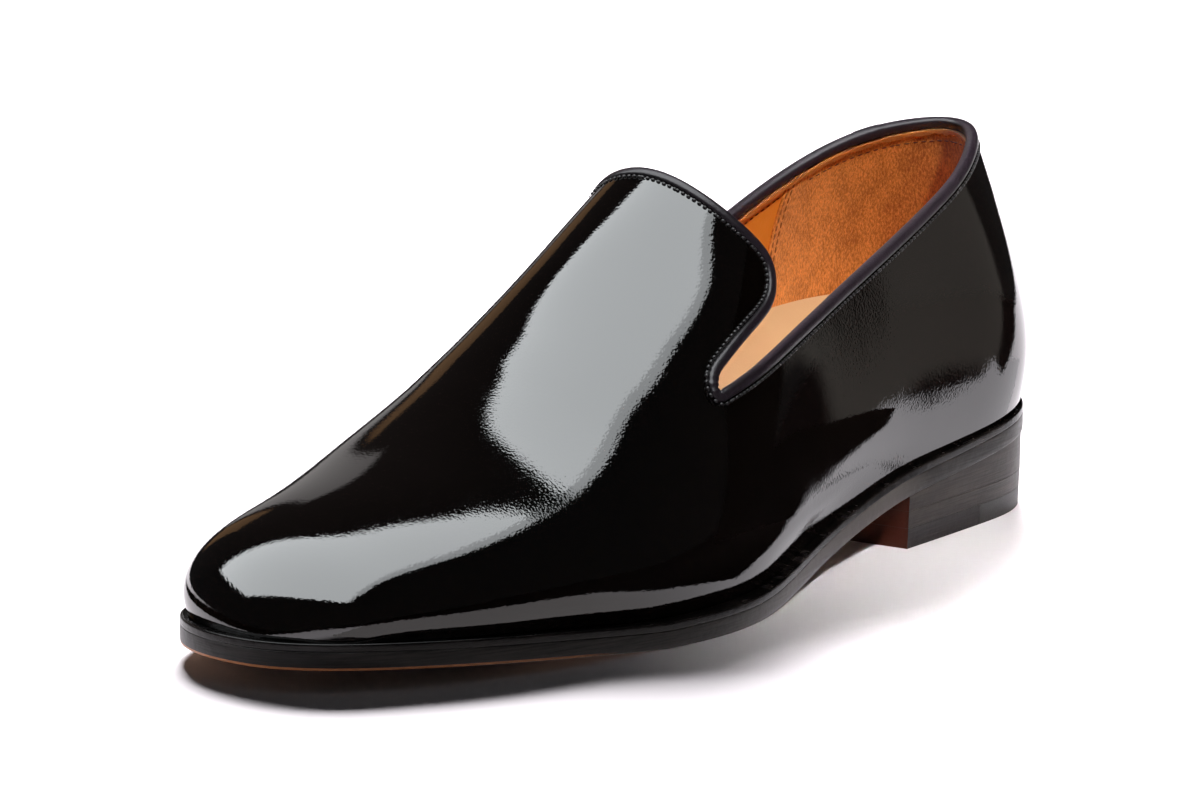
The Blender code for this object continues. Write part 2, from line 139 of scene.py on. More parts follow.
# Edge of the leather along the top of the quarters
#   station, height
TOPLINE = np.array([
    (6.0, 94.0),
    (24.0, 91.7),
    (40.0, 86.9),
    (60.0, 80.6),
    (80.0, 74.6),
    (100.0, 68.9),
    (120.0, 63.7),
    (140.0, 59.3),
    (158.0, 55.6),
    (170.0, 53.2),
])

# Dip of the topline on the inner side, below the outer side
INNER_DIP = 2.0
DIP_START = 12.0
DIP_END = 150.0

# Lower edge of the tongue, from the notch back to its corner
#   station, angle round the section in degrees
TONGUE_SIDE = np.array([
    (167.0, 39.2),
    (158.0, 38.8),
    (149.0, 37.6),
    (142.0, 37.0),
    (137.8, 38.2),
    (136.0, 40.9),
])

# End of the tongue, from its corner up to the crest
#   station, angle round the section in degrees
TONGUE_END = np.array([
    (136.0, 40.9),
    (136.6, 44.5),
    (140.2, 52.5),
    (143.6, 62.5),
    (145.6, 72.0),
    (146.6, 82.0),
    (146.8, 90.0),
])

# Outline of the sole
#   station, outer half, inner half
SOLE_OUTLINE = np.array([
    (25.0, 27.5, 30.5),
    (45.0, 30.2, 33.5),
    (70.0, 32.0, 33.5),
    (100.0, 34.5, 30.5),
    (130.0, 40.5, 33.0),
    (160.0, 49.3, 41.0),
    (185.0, 53.0, 48.0),
    (210.0, 50.4, 51.6),
    (235.0, 44.4, 51.0),
    (258.0, 36.2, 46.5),
    (280.0, 24.3, 39.5),
])

# Underside of the outsole
#   station, height
SOLE_UNDERSIDE = np.array([
    (0.0, 20.6),
    (27.0, 18.2),
    (54.0, 15.7),
    (80.0, 13.3),
    (100.0, 9.8),
    (130.0, 4.3),
    (156.0, 0.8),
    (172.0, 0.0),
    (188.0, 0.0),
    (205.0, 0.0),
    (222.0, 1.1),
    (250.0, 3.0),
    (280.0, 4.6),
    (300.0, 5.4),
])

# Top of the insole over its foot: its middle, and the rims that cup the heel
#   station, middle, outer rim, inner rim
INSOLE_TOP = np.array([
    (0.0, 16.0, 21.0, 22.0),
    (40.0, 16.5, 21.5, 26.5),
    (65.0, 15.0, 19.0, 27.0),
    (95.0, 11.0, 14.0, 20.0),
    (130.0, 6.0, 8.0, 10.0),
    (165.0, 3.5, 4.5, 4.8),
    (200.0, 3.0, 3.3, 3.3),
    (250.0, 3.0, 3.2, 3.2),
    (296.0, 3.0, 3.2, 3.2),
])

# Half width of the strip down the back
#   share of the height, half width
STRIP_HALF = np.array([
    (0.0, 19.0),
    (0.4, 17.5),
    (0.7, 14.5),
    (1.0, 11.5),
])
STRIP_REACH = 100.0
STRIP_FOOT = 0.03
STRIP_HEAD = 0.965
STRIP_THICK = 0.75
STRIP_LIFT = 0.04
STRIP_COLUMNS = 48
STRIP_ROWS = 40
STRIP_EDGE_WIDTH = 0.3
STRIP_EDGE_STEPS = 3
STRIP_EDGE_ANGLE = 50.0

# Soft troughs and ridges of the upper: where each starts and ends, its width and its depth,
# a trough below zero and a ridge above
#   start station, side, height, end station, side, height, width, depth
CREASES = np.array([
    (230.0, -18.0, 48.0, 210.0, 47.0, 28.0, 17.0, -1.20),
    (176.0, 38.0, 58.0, 206.0, 43.0, 34.0, 18.0, -0.80),
    (130.0, 28.0, 84.0, 182.0, 34.0, 58.0, 11.5, 1.20),
    (140.0, -4.0, 102.0, 196.0, -6.0, 69.0, 11.0, 1.05),
    (296.0, -8.0, 22.0, 236.0, 34.0, 32.0, 20.0, -1.20),
    (176.0, 45.0, 44.0, 230.0, 44.0, 20.0, 20.0, -0.65),
    (70.0, 31.0, 38.0, 188.0, 51.0, 8.0, 14.0, 1.50),
])
CREASE_FADE = 9.0

# Edge of the welt from its inner foot, up over the lip and back to the upper
#   inset from the sole's edge, height over the welt's foot
WELT_EDGE = np.array([
    (9.0, 0.0),
    (0.12, 0.0),
    (0.02, 0.08),
    (0.0, 0.30),
    (0.0, 1.40),
    (0.03, 1.72),
    (0.12, 1.93),
    (0.28, 2.03),
    (0.48, 2.03),
    (0.66, 1.94),
    (0.82, 1.76),
    (1.05, 1.66),
    (1.60, 1.64),
    (9.0, 1.64),
])

# Edge of the outsole from its tread up to the welt
#   inset from the sole's edge, height over the tread
OUTSOLE_EDGE = np.array([
    (3.0, 0.0),
    (0.50, 0.0),
    (0.22, 0.06),
    (0.10, 0.22),
    (0.06, 0.62),
    (0.04, 0.72),
    (0.0, 1.40),
    (0.0, 4.20),
    (0.02, 4.40),
    (0.12, 4.48),
])

# The undyed line along the foot of the sole's edge, and the stations over which it fades in
UNDYED_HEIGHT = 0.67
UNDYED_FROM = 205.0
UNDYED_FULL = 250.0

# Where a painted sheen turns the sole's edge paler at the waist and where it is black again, in metres
# along the shoe
WAIST_SHEEN_BACK = (-0.085, -0.060)
WAIST_SHEEN_FRONT = (-0.01, 0.05)

# Rolled binding: its section is a rounded box across the edge of the leather
BINDING_NEAR = -0.15
BINDING_FAR = 2.85
BINDING_TOP = 0.72
BINDING_LOW = -2.45
BINDING_SQUARENESS = 0.72

# Gathers where the binding turns the notches: their pitch, start, swell and reach either way
GATHER_PITCH = 2.3
GATHER_START = 0.6
GATHER_SWELL = 0.13
GATHER_REACH = 6.5

# Where the binding's ends lap over each other, on the inner side
LAP_START = 21.5
LAP_END = 27.0
LAP_SWELL = 0.09

# Stitches along the binding; the rise is a share of their thickness
STITCH_PITCH = 1.5
STITCH_LENGTH = 1.22
STITCH_THICK = 0.82
STITCH_EDGE = -0.74
STITCH_RISE = 0.22
STITCH_SEGMENTS = 8
STITCH_RINGS = 5

# Lip of the lining under the binding, inside the shoe. Its ragged foot turns down and back, and
# wanders in two waves, each given by its turn at a step and its start
LIP_TOP = 0.1
LIP_FOOT = -0.95
LIP_RAGGED = 0.22
LIP_WAVES = ((1.7, 0.0), (0.61, 1.0))
LIP_TURN_DOWN = 0.25
LIP_TURN_BACK = 0.3
LIP_FACE = -2.95
LIP_BACK = -1.9

# Suede heel grip inside the quarters: its front edge leans forward as it goes down
GRIP_FRONT_TOP = 42.0
GRIP_FRONT_FOOT = 62.0
GRIP_FOOT = 0.10
GRIP_HEAD = 0.985
GRIP_DEPTH = 2.0
GRIP_THICK = 0.45
GRIP_COLUMNS = 120
GRIP_ROWS = 44
GRIP_SEAM_ROWS = (1.1, 3.0)
GRIP_SEAM_STEPS = 400
GRIP_SEAM_END = 1.0
GRIP_SEAM_BEHIND = 0.06
GRIP_STITCH_PITCH = 2.2
GRIP_STITCH_LENGTH = 1.7
GRIP_STITCH_THICK = 0.42
GRIP_STITCH_RISE = 0.08

# Stitches that hold the lining, inside the shoe below its lip
LINING_ROW = -3.0
LINING_FACE = -1.98
LINING_PITCH = 2.3
LINING_STITCH_LENGTH = 1.5
LINING_STITCH_THICK = 0.40

# Camera: place and aim in metres, and its lens for a 36 mm wide frame
CAMERA_AT = Vector((2.335637, 1.696058, 0.621481))
CAMERA_AIM = Vector((-0.0418, -0.0423, 0.0341))
CAMERA_LENS = 360.0
CAMERA_SENSOR = 36.0


def spline(xs, ys):
    """Natural cubic through the rows of a table, carried on past its ends."""
    xs = np.asarray(xs, float)
    ys = np.asarray(ys, float)
    count = len(xs)
    step = np.diff(xs)
    matrix = np.eye(count)
    right = np.zeros(count)
    for i in range(1, count - 1):
        matrix[i, i - 1] = step[i - 1]
        matrix[i, i] = 2.0 * (step[i - 1] + step[i])
        matrix[i, i + 1] = step[i]
        right[i] = 6.0 * ((ys[i + 1] - ys[i]) / step[i] - (ys[i] - ys[i - 1]) / step[i - 1])
    bend = np.linalg.solve(matrix, right)

    def value(x):
        x = np.asarray(x, float)
        i = np.clip(np.searchsorted(xs, x) - 1, 0, count - 2)
        a = xs[i + 1] - x
        b = x - xs[i]
        h = step[i]
        cubic = (bend[i] * a ** 3 + bend[i + 1] * b ** 3) / (6.0 * h)
        line = (ys[i] / h - bend[i] * h / 6.0) * a + (ys[i + 1] / h - bend[i + 1] * h / 6.0) * b
        return cubic + line

    return value


def table_spline(table, column=1):
    return spline(table[:, 0], table[:, column])


underside_curve = table_spline(SOLE_UNDERSIDE)


def underside(x):
    """Height of the outsole's underside, flat on the floor under the ball."""
    x = np.asarray(x, float)
    level = np.maximum(underside_curve(x), 0.0)
    return np.where((x >= FLAT_START) & (x <= FLAT_END), 0.0, level)


def welt_foot(x):
    return underside(x) + OUTSOLE_THICK


def feather(x):
    """Height of the upper's lower edge, on the welt."""
    return underside(x) + OUTSOLE_THICK + WELT_EDGE[-1, 1] + FEATHER_GAP


def insole_foot(x):
    return underside(x) + INSOLE_FOOT


def nose(x):
    """Stations counted so that widths close on the toe as a round nose does."""
    return np.sqrt(np.maximum(TOE_TIP - np.asarray(x, float), 0.0))


def nose_spline(values):
    return spline(np.append(0.0, nose(LAST[::-1, 0])), np.append(0.0, values[::-1]))


def station_spline(column, at_tip):
    return spline(np.append(LAST[:, 0], TOE_TIP), np.append(LAST[:, column], at_tip))


half_width = nose_spline(LAST[:, 1])
rise_above = nose_spline(LAST[:, 4] - LAST[:, 3])
drop_below = nose_spline(LAST[:, 3] - feather(LAST[:, 0]))
centre_line = station_spline(2, TOE_CENTRE)
crest_shift = station_spline(5, 0.0)
fullness = station_spline(6, 0.0)
back_curve = table_spline(BACK_CURVE)
topline = table_spline(TOPLINE)
strip_half = table_spline(STRIP_HALF)
insole_middle = table_spline(INSOLE_TOP)
insole_outer_rim = table_spline(INSOLE_TOP, 2)
insole_inner_rim = table_spline(INSOLE_TOP, 3)


def topline_on(x, inner):
    """Height of the leather's top edge, a little lower along the inner side."""
    share = np.clip((x - DIP_START) / (DIP_END - DIP_START), 0.0, 1.0)
    return topline(x) - np.where(inner, INNER_DIP * np.sin(math.pi * share) ** 2, 0.0)


def arch_out(angle, full):
    return np.cos(angle) + full * (np.cos(3.0 * angle) - np.cos(angle))


def arch_up(angle, full):
    return np.sin(angle) - full * (np.sin(3.0 * angle) + np.sin(angle))


def widest_level(x):
    return feather(x) + np.maximum(drop_below(nose(x)), 0.0)


def angle_at(x, z):
    """Angle round the section at which the last reaches height z, below its crest."""
    full = fullness(x)
    rise = np.maximum(rise_above(nose(x)), 1e-6)
    wanted = np.clip((z - widest_level(x)) / rise, -0.9, 0.99)
    angle = np.arcsin(wanted)
    for _ in range(ANGLE_ROUNDS):
        slope = np.cos(angle) - full * (3.0 * np.cos(3.0 * angle) + np.cos(angle))
        angle = angle - (arch_up(angle, full) - wanted) / np.maximum(slope, 0.1)
    return angle


def last_point(x, angle):
    """Point of the last at a station and an angle, from the outer side over the crest."""
    x, angle = np.broadcast_arrays(np.asarray(x, float), angle)
    full = fullness(x)
    z = widest_level(x) + np.maximum(rise_above(nose(x)), 0.0) * arch_up(angle, full)
    into = np.clip((x - back_curve(z)) / HEEL_ROUND, 0.0, 1.0)
    closing = np.sqrt(1.0 - (1.0 - into) ** 3)
    y = centre_line(x) + half_width(nose(x)) * arch_out(angle, full) * closing
    y = y + crest_shift(x) * np.sin(angle) ** 2
    return np.stack([x, y, z], axis=-1)


def quarter_station(u):
    """Share of the way from the back of the heel to the notch."""
    return np.abs(u) ** 2 * (1.0 + QUARTER_SPREAD - QUARTER_SPREAD * np.abs(u))


def quarter_point(u, v):
    """Outer face of the quarters: u from the inner notch round the heel to the outer
    notch, v from the feather to the topline."""
    u, v = np.broadcast_arrays(np.asarray(u, float), np.asarray(v, float))
    z = np.full(u.shape, 0.5 * TOPLINE[0, 1])
    for _ in range(LEVEL_ROUNDS):
        back = back_curve(z)
        x = back + (NOTCH_X - back) * quarter_station(u)
        low = angle_at(x, feather(x))
        high = angle_at(x, topline_on(x, u < 0.0))
        angle = low + v * (high - low)
        z = widest_level(x) + rise_above(nose(x)) * arch_up(angle, fullness(x))
    return last_point(x, np.where(u < 0.0, math.pi - angle, angle))


def row_curve(table, share):
    """Point part of the way along the rows of an edge table, in station and angle."""
    rows = np.arange(len(table))
    at = np.asarray(share, float) * (len(table) - 1)
    return spline(rows, table[:, 0])(at), np.radians(spline(rows, table[:, 1])(at))


def tongue_point(w, p):
    """Outer face of the tongue: w from its outer edge to its inner edge, p from the notch
    back to its end."""
    w, p = np.broadcast_arrays(np.asarray(w, float), np.asarray(p, float))
    inner = w > 0.5
    h = np.where(inner, 2.0 - 2.0 * w, 2.0 * w)
    side_x, side_a = row_curve(TONGUE_SIDE, p)
    end_x, end_a = row_curve(TONGUE_END, h)
    start_a = np.radians(TONGUE_SIDE[0, 1])
    corner_x = TONGUE_END[0, 0]
    corner_a = np.radians(TONGUE_END[0, 1])
    crest_x = TONGUE_END[-1, 0]
    half_turn = math.pi / 2.0
    x = (1 - h) * side_x + h * (NOTCH_X + (crest_x - NOTCH_X) * p)
    x = x + (1 - p) * NOTCH_X + p * end_x
    x = x - (1 - p) * NOTCH_X - p * ((1 - h) * corner_x + h * crest_x)
    angle = (1 - h) * side_a + h * half_turn
    angle = angle + (1 - p) * (start_a + (half_turn - start_a) * h) + p * end_a
    angle = angle - (1 - p) * ((1 - h) * start_a + h * half_turn)
    angle = angle - p * ((1 - h) * corner_a + h * half_turn)
    return last_point(x, np.where(inner, math.pi - angle, angle))


def vamp_columns():
    """Where each column of the vamp starts behind: its station and its share of the
    section from the outer feather to the inner one."""
    low = angle_at(NOTCH_X, feather(NOTCH_X))
    high = angle_at(NOTCH_X, topline(NOTCH_X))
    tongue = np.radians(TONGUE_SIDE[0, 1])
    angles = list(low + np.linspace(0.0, 1.0, QUARTER_ROWS + 1) * (high - low))
    starts = [NOTCH_X] * len(angles)
    for i in range(1, NOTCH_COLUMNS):
        turn = math.pi * (i / NOTCH_COLUMNS - 0.5)
        angles.append(0.5 * (high + tongue) + 0.5 * (tongue - high) * math.sin(turn))
        starts.append(NOTCH_X + NOTCH_RADIUS * math.cos(turn))
    for w in np.linspace(0.0, 0.5, TONGUE_COLUMNS + 1):
        angles.append(tongue + (math.pi / 2.0 - tongue) * 2.0 * w)
        starts.append(NOTCH_X)
    starts = np.array(starts)
    low = angle_at(starts, feather(starts))
    share = (np.array(angles) - low) / (math.pi - 2.0 * low)
    starts = np.append(starts, starts[-2::-1])
    share = np.append(share, 1.0 - share[-2::-1])
    return starts, share


def vamp_point(start, share, p):
    """Outer face of the vamp: p from the notch to the toe along one column."""
    x = TOE_TIP - (nose(start) * (1.0 - p)) ** 2
    low = angle_at(x, feather(x))
    return last_point(x, low + share * (math.pi - 2.0 * low))


def turn_at(x):
    """Angle along the sole's outline at a station: 0 at the back, half a turn at the toe."""
    return np.arccos(1.0 - 2.0 * np.asarray(x, float) / SOLE_LENGTH)


def outline_spline(values):
    turns = np.concatenate([[0.0], turn_at(SOLE_OUTLINE[:, 0]), [math.pi]])
    return spline(turns, np.concatenate([[BACK_CENTRE], values, [TOE_CENTRE]]))


outer_half = outline_spline(SOLE_OUTLINE[:, 1])
inner_half = outline_spline(-SOLE_OUTLINE[:, 2])


def sole_side(turn, side):
    """Outline of the sole on one side, 1 for the outer and -1 for the inner."""
    x = SOLE_LENGTH * (1.0 - np.cos(turn)) / 2.0
    return np.stack([x, np.where(side > 0, outer_half(turn), inner_half(turn))], axis=-1)


def last_side(level):
    """Outline of the upper at a level, on one side, as the sole's outline is given."""
    back = 0.0
    for _ in range(LEVEL_ROUNDS):
        back = float(back_curve(level(back)))

    def curve(turn, side):
        x = back + (TOE_TIP - back) * (1.0 - np.cos(turn)) / 2.0
        angle = angle_at(x, level(x))
        return last_point(x, np.where(side > 0, angle, math.pi - angle))[..., :2]

    return curve


def inset(curve, turn, side, distance):
    """An outline moved inwards by a distance."""
    step = 0.001
    a = np.clip(turn - step, 0.0, math.pi)
    b = np.clip(turn + step, 0.0, math.pi)
    along = curve(b, side) - curve(a, side)
    along = along / np.linalg.norm(along, axis=-1, keepdims=True)
    sign = np.asarray(side, float)[..., None]
    inward = sign * np.stack([along[..., 1], -along[..., 0]], axis=-1)
    return curve(turn, side) + inward * distance


def raised(flat, height):
    """Plan points with their heights."""
    return np.concatenate([flat, np.broadcast_to(height, flat.shape[:-1])[..., None]], axis=-1)


def place(points):
    """From the tables' millimetres to the shoe's own frame in metres."""
    return (np.asarray(points) - np.array([ORIGIN_X, ORIGIN_Y, 0.0])) * MM


def table_point(vert):
    """A vertex back in the tables' millimetres."""
    return np.array(vert.co) / MM + np.array([ORIGIN_X, ORIGIN_Y, 0.0])


def unit(vectors):
    return vectors / np.linalg.norm(vectors, axis=-1, keepdims=True)


def between(pair, share):
    return pair[0] + (pair[1] - pair[0]) * share


class Socket:
    """An output of a node in a finish, which takes part in sums as a number does."""

    def __init__(self, finish, output):
        self.finish = finish
        self.output = output

    def sum_of(self, operation, first, second):
        return self.finish.node("ShaderNodeMath", {"operation": operation}, {0: first, 1: second})

    def __add__(self, other):
        return self.sum_of("ADD", self, other)

    def __radd__(self, other):
        return self.sum_of("ADD", other, self)

    def __sub__(self, other):
        return self.sum_of("SUBTRACT", self, other)

    def __rsub__(self, other):
        return self.sum_of("SUBTRACT", other, self)

    def __mul__(self, other):
        return self.sum_of("MULTIPLY", self, other)

    def __rmul__(self, other):
        return self.sum_of("MULTIPLY", other, self)


class Finish:
    """A material built around one Principled shader."""

    def __init__(self, name):
        self.material = bpy.data.materials.new(name)
        self.material.use_nodes = True
        self.tree = self.material.node_tree
        self.shader = self.tree.nodes["Principled BSDF"]

    def feed(self, target, value):
        if isinstance(value, Socket):
            self.tree.links.new(value.output, target)
        else:
            target.default_value = value

    def node(self, kind, settings, sockets, output=0):
        made = self.tree.nodes.new(kind)
        for key, value in settings.items():
            setattr(made, key, value)
        for key, value in sockets.items():
            self.feed(made.inputs[key], value)
        if output is None:
            return [Socket(self, each) for each in made.outputs]
        return Socket(self, made.outputs[output])

    def spot(self, stretch=(1.0, 1.0, 1.0)):
        """Place on the shoe in metres, stretched for patterns that run one way."""
        here = self.node("ShaderNodeTexCoord", {}, {}, "Object")
        return self.node("ShaderNodeMapping", {}, {"Vector": here, "Scale": stretch})

    def axes(self):
        """Place along, across and up the shoe in metres."""
        return self.node("ShaderNodeSeparateXYZ", {}, {0: self.spot()}, None)

    def noise(self, size, detail=2.0, rough=0.5, stretch=(1.0, 1.0, 1.0)):
        """Noise from 0 to 1 whose lumps are about a size in millimetres."""
        return self.node("ShaderNodeTexNoise", {"normalize": True}, {
            "Vector": self.spot(stretch), "Scale": 1.0 / (size * MM),
            "Detail": detail, "Roughness": rough}, "Fac")

    def cells(self, size):
        """Distance to the nearest of scattered points a size in millimetres apart."""
        return self.node("ShaderNodeTexVoronoi", {"feature": "F1"}, {
            "Vector": self.spot(), "Scale": 1.0 / (size * MM)}, "Distance")

    def ramp(self, value, low, high):
        """0 below low and 1 above high, with a soft step between."""
        return self.node("ShaderNodeMapRange", {"interpolation_type": "SMOOTHSTEP"}, {
            "Value": value, "From Min": low, "From Max": high})

    def mix(self, factor, first, second):
        return self.node("ShaderNodeMix", {"data_type": "RGBA"}, {
            0: factor, 6: colour(first), 7: colour(second)}, 2)

    def bump(self, height, depth, below=None):
        """Relief of a depth in millimetres, on top of another relief."""
        sockets = {"Height": height, "Distance": depth * MM, "Strength": 1.0}
        if below is not None:
            sockets["Normal"] = below
        return self.node("ShaderNodeBump", {}, sockets)

    def done(self, **sockets):
        for name, value in sockets.items():
            self.feed(self.shader.inputs[name.replace("_", " ")], colour(value))
        return self.material


def colour(value):
    """A colour given as three numbers gets its fourth."""
    if isinstance(value, tuple) and len(value) == 3:
        return (*value, 1.0)
    return value


def patent():
    """Black lacquered leather: mirror gloss broken by a very fine peel."""
    finish = Finish("black_patent")
    peel = finish.noise(0.65, 1.0)
    drift = finish.noise(16.0, 1.0)
    relief = finish.bump(drift, 0.05)
    relief = finish.bump(peel, 0.017, relief)
    tone = finish.mix(finish.noise(14.0, 2.0), (0.0022, 0.0011, 0.0009), (0.0036, 0.0022, 0.0019))
    gloss = 0.03 + 0.03 * finish.ramp(finish.noise(6.0, 3.0), 0.4, 0.75)
    return finish.done(Base_Color=tone, Roughness=gloss, Normal=relief, IOR=PATENT_IOR)


def grained_leather(name, pores, swells, mottle, tones, gloss, **more):
    """Smooth leather. Pores and swells are given by size and depth, the mottle by its noise, and
    the gloss by its least roughness, what patches add and their size."""
    finish = Finish(name)
    relief = finish.bump(finish.cells(pores[0]), pores[1])
    relief = finish.bump(finish.noise(swells[0]), swells[1], relief)
    tone = finish.mix(finish.noise(*mottle), *tones)
    least, added, patch = gloss
    rough = least + added * finish.noise(patch)
    return finish.done(Base_Color=tone, Roughness=rough, Normal=relief, **more)


def binding_leather():
    tones = ((0.011, 0.0075, 0.011), (0.026, 0.018, 0.026))
    return grained_leather("aubergine_binding", (0.45, 0.03), (3.0, 0.08), (1.5, 3.0), tones,
                           (0.26, 0.14, 1.0), Specular_IOR_Level=0.42)


def lining_leather():
    """Cognac calf, mottled by handling."""
    tones = ((0.58, 0.180, 0.019), (0.72, 0.245, 0.031))
    return grained_leather("cognac_lining", (0.5, 0.035), (5.0, 0.12), (11.0, 4.0, 0.6), tones,
                           (0.42, 0.16, 3.0))


def sock_leather():
    tones = ((0.45, 0.275, 0.138), (0.52, 0.335, 0.180))
    return grained_leather("pale_sock", (0.6, 0.03), (8.0, 0.10), (16.0, 4.0, 0.6), tones,
                           (0.5, 0.12, 2.0))


def thread(name, dark, light, gloss):
    finish = Finish(name)
    twist = finish.noise(0.25, 2.0)
    relief = finish.bump(twist, 0.06)
    tone = finish.mix(twist, dark, light)
    return finish.done(Base_Color=tone, Roughness=gloss, Normal=relief)


def suede():
    """Napped heel grip: short fibres brushed this way and that."""
    finish = Finish("suede_grip")
    fibres = finish.noise(0.45, 3.0, 0.7, (1.0, 1.0, 0.45))
    brushed = finish.noise(7.0, 3.0, 0.55, (1.0, 1.0, 0.7))
    relief = finish.bump(fibres, 0.32)
    relief = finish.bump(brushed, 0.30, relief)
    nap = finish.ramp(0.35 * brushed + 0.65 * fibres, 0.34, 0.66)
    tone = finish.mix(nap, (0.36, 0.102, 0.016), (0.84, 0.300, 0.062))
    return finish.done(Base_Color=tone, Roughness=0.95, Normal=relief, Sheen_Weight=0.25,
                       Sheen_Roughness=0.5, Sheen_Tint=(1.0, 0.7, 0.4))


def cut_edge_leather():
    """Pale cut edge of the lining."""
    finish = Finish("trimmed_lip")
    fuzz = finish.noise(0.35, 3.0, 0.7)
    tone = finish.mix(fuzz, (0.34, 0.100, 0.020), (0.60, 0.205, 0.048))
    return finish.done(Base_Color=tone, Roughness=0.85, Normal=finish.bump(fuzz, 0.12))


def burnished_edge(name, dark, light, gloss_low, gloss_high, undyed=None, waist=None, depth=0.10):
    """Black waxed leather edge with fine streaks running along it, paler along the waist by a painted
    sheen, and undyed where it says so."""
    finish = Finish(name)
    streaks = finish.noise(0.5, 3.0, 0.6, (0.03, 0.03, 1.0))
    rubbed = finish.noise(4.0, 3.0, 0.6, (0.25, 0.25, 1.0))
    relief = finish.bump(streaks, depth)
    relief = finish.bump(finish.noise(2.5, 2.0), 0.10, relief)
    tone = finish.mix(finish.ramp(streaks + 0.5 * (rubbed - 0.5), 0.35, 0.75), dark, light)
    # The waist colour is a painted sheen: the edge turns paler along the waist, between the two places
    # given
    if waist:
        along, _, _ = finish.axes()
        pale = finish.ramp(along, *WAIST_SHEEN_BACK) - finish.ramp(along, *WAIST_SHEEN_FRONT)
        tone = finish.mix(pale, tone, waist)
    if undyed:
        bare = finish.node("ShaderNodeAttribute", {"attribute_name": "undyed"}, {}, "Fac")
        tone = finish.mix(finish.ramp(bare + 0.4 * (rubbed - 0.5), 0.35, 0.65), tone, undyed)
    gloss = gloss_low + (gloss_high - gloss_low) * streaks
    return finish.done(Base_Color=tone, Roughness=gloss, Normal=relief, Specular_IOR_Level=0.18)


def tread_leather(name, dark, light):
    """Leather of the tread: fibres close up, clouded by tanning."""
    finish = Finish(name)
    fibres = finish.noise(0.4, 3.0, 0.65)
    clouds = finish.noise(18.0, 4.0, 0.6)
    tone = finish.mix(0.6 * clouds + 0.4 * fibres, dark, light)
    return finish.done(Base_Color=tone, Roughness=0.5 + 0.2 * fibres, Normal=finish.bump(fibres, 0.05),
                       Specular_IOR_Level=0.25)


def tip_rubber():
    finish = Finish("black_rubber")
    speckle = finish.noise(0.4, 2.0)
    scuff = finish.noise(1.2, 3.0, 0.6, (0.15, 0.15, 1.0))
    tone = finish.mix(scuff, (0.012, 0.011, 0.011), (0.028, 0.026, 0.025))
    return finish.done(Base_Color=tone, Roughness=0.45 + 0.2 * speckle, Normal=finish.bump(speckle, 0.04))


def pale_floor():
    finish = Finish("pale_floor")
    cloud = finish.noise(180.0, 2.0)
    tone = finish.mix(cloud, (0.80, 0.765, 0.81), (0.83, 0.795, 0.84))
    return finish.done(Base_Color=tone, Roughness=0.9, Specular_IOR_Level=0.0)


def add_patch(mesh, columns, rows, spot):
    """A grid laid on a surface: spot gives table points for shares across and along it."""
    made = bmesh.ops.create_grid(mesh, x_segments=columns, y_segments=rows, size=0.5)["verts"]
    flat = np.array([vert.co for vert in made]) + 0.5
    across = np.rint(flat[:, 0] * columns) / columns
    along = np.rint(flat[:, 1] * rows) / rows
    for vert, point in zip(made, place(spot(across, along))):
        vert.co = point


def weld(mesh):
    bmesh.ops.remove_doubles(mesh, verts=mesh.verts, dist=MERGE)


def closed_skin(rings, closed_along):
    """A grid wrapped round rings of table points, with its open ends filled and its faces turned
    outwards."""
    count, around = rings.shape[:2]
    columns = count if closed_along else count - 1

    def spot(a, b):
        i = np.rint(a * columns).astype(int) % count
        j = np.rint(b * around).astype(int) % around
        return rings[i, j]

    mesh = bmesh.new()
    add_patch(mesh, columns, around, spot)
    weld(mesh)
    border = [edge for edge in mesh.edges if edge.is_boundary]
    bmesh.ops.holes_fill(mesh, edges=border, sides=0)
    bmesh.ops.recalc_face_normals(mesh, faces=mesh.faces)
    return mesh


def push_out(mesh, distances):
    """Move each vertex along its normal by a distance in millimetres."""
    mesh.normal_update()
    distances = np.broadcast_to(distances, len(mesh.verts))
    moved = [vert.co + vert.normal * (d * MM) for vert, d in zip(mesh.verts, distances)]
    for vert, spot in zip(mesh.verts, moved):
        vert.co = spot
    mesh.normal_update()


def face_outwards(mesh):
    """Turn an open sheet over the last so that its faces look away from the foot."""
    bmesh.ops.recalc_face_normals(mesh, faces=mesh.faces)
    middle = np.mean([np.array(vert.co) for vert in mesh.verts], axis=0)
    away = sum((face.calc_center_median() - Vector(middle)).dot(face.normal) * face.calc_area()
               for face in mesh.faces)
    if away < 0.0:
        bmesh.ops.reverse_faces(mesh, faces=mesh.faces)
    mesh.normal_update()


def upper_sheet():
    """Outer face of the upper as one open sheet, with its opening and its feather edge."""
    mesh = bmesh.new()
    add_patch(mesh, 2 * QUARTER_COLUMNS, QUARTER_ROWS, lambda a, b: quarter_point(2.0 * a - 1.0, b))
    add_patch(mesh, 2 * TONGUE_COLUMNS, TONGUE_ROWS, tongue_point)
    starts, share = vamp_columns()
    last = len(starts) - 1

    def vamp_spot(a, b):
        column = np.rint(a * last).astype(int)
        return vamp_point(starts[column], share[column], b)

    add_patch(mesh, last, VAMP_ROWS, vamp_spot)
    weld(mesh)
    face_outwards(mesh)
    push_out(mesh, crease_relief(np.array([table_point(vert) for vert in mesh.verts])))
    return mesh


def crease_relief(points):
    """How far the leather rises or sinks at each point by its creases, none at the feather."""
    relief = np.zeros(len(points))
    for row in CREASES:
        start, end, width, depth = row[:3], row[3:6], row[6], row[7]
        run = np.linalg.norm(end - start)
        along = np.clip((points - start) @ (end - start) / run, 0.0, run)
        nearest = start + along[:, None] * (end - start) / run
        away = np.linalg.norm(points - nearest, axis=1)
        relief += depth * np.sin(math.pi * along / run) ** 2 * np.exp(-(away / width) ** 2)
    lasted = np.clip((points[:, 2] - feather(points[:, 0])) / CREASE_FADE, 0.0, 1.0)
    return relief * lasted


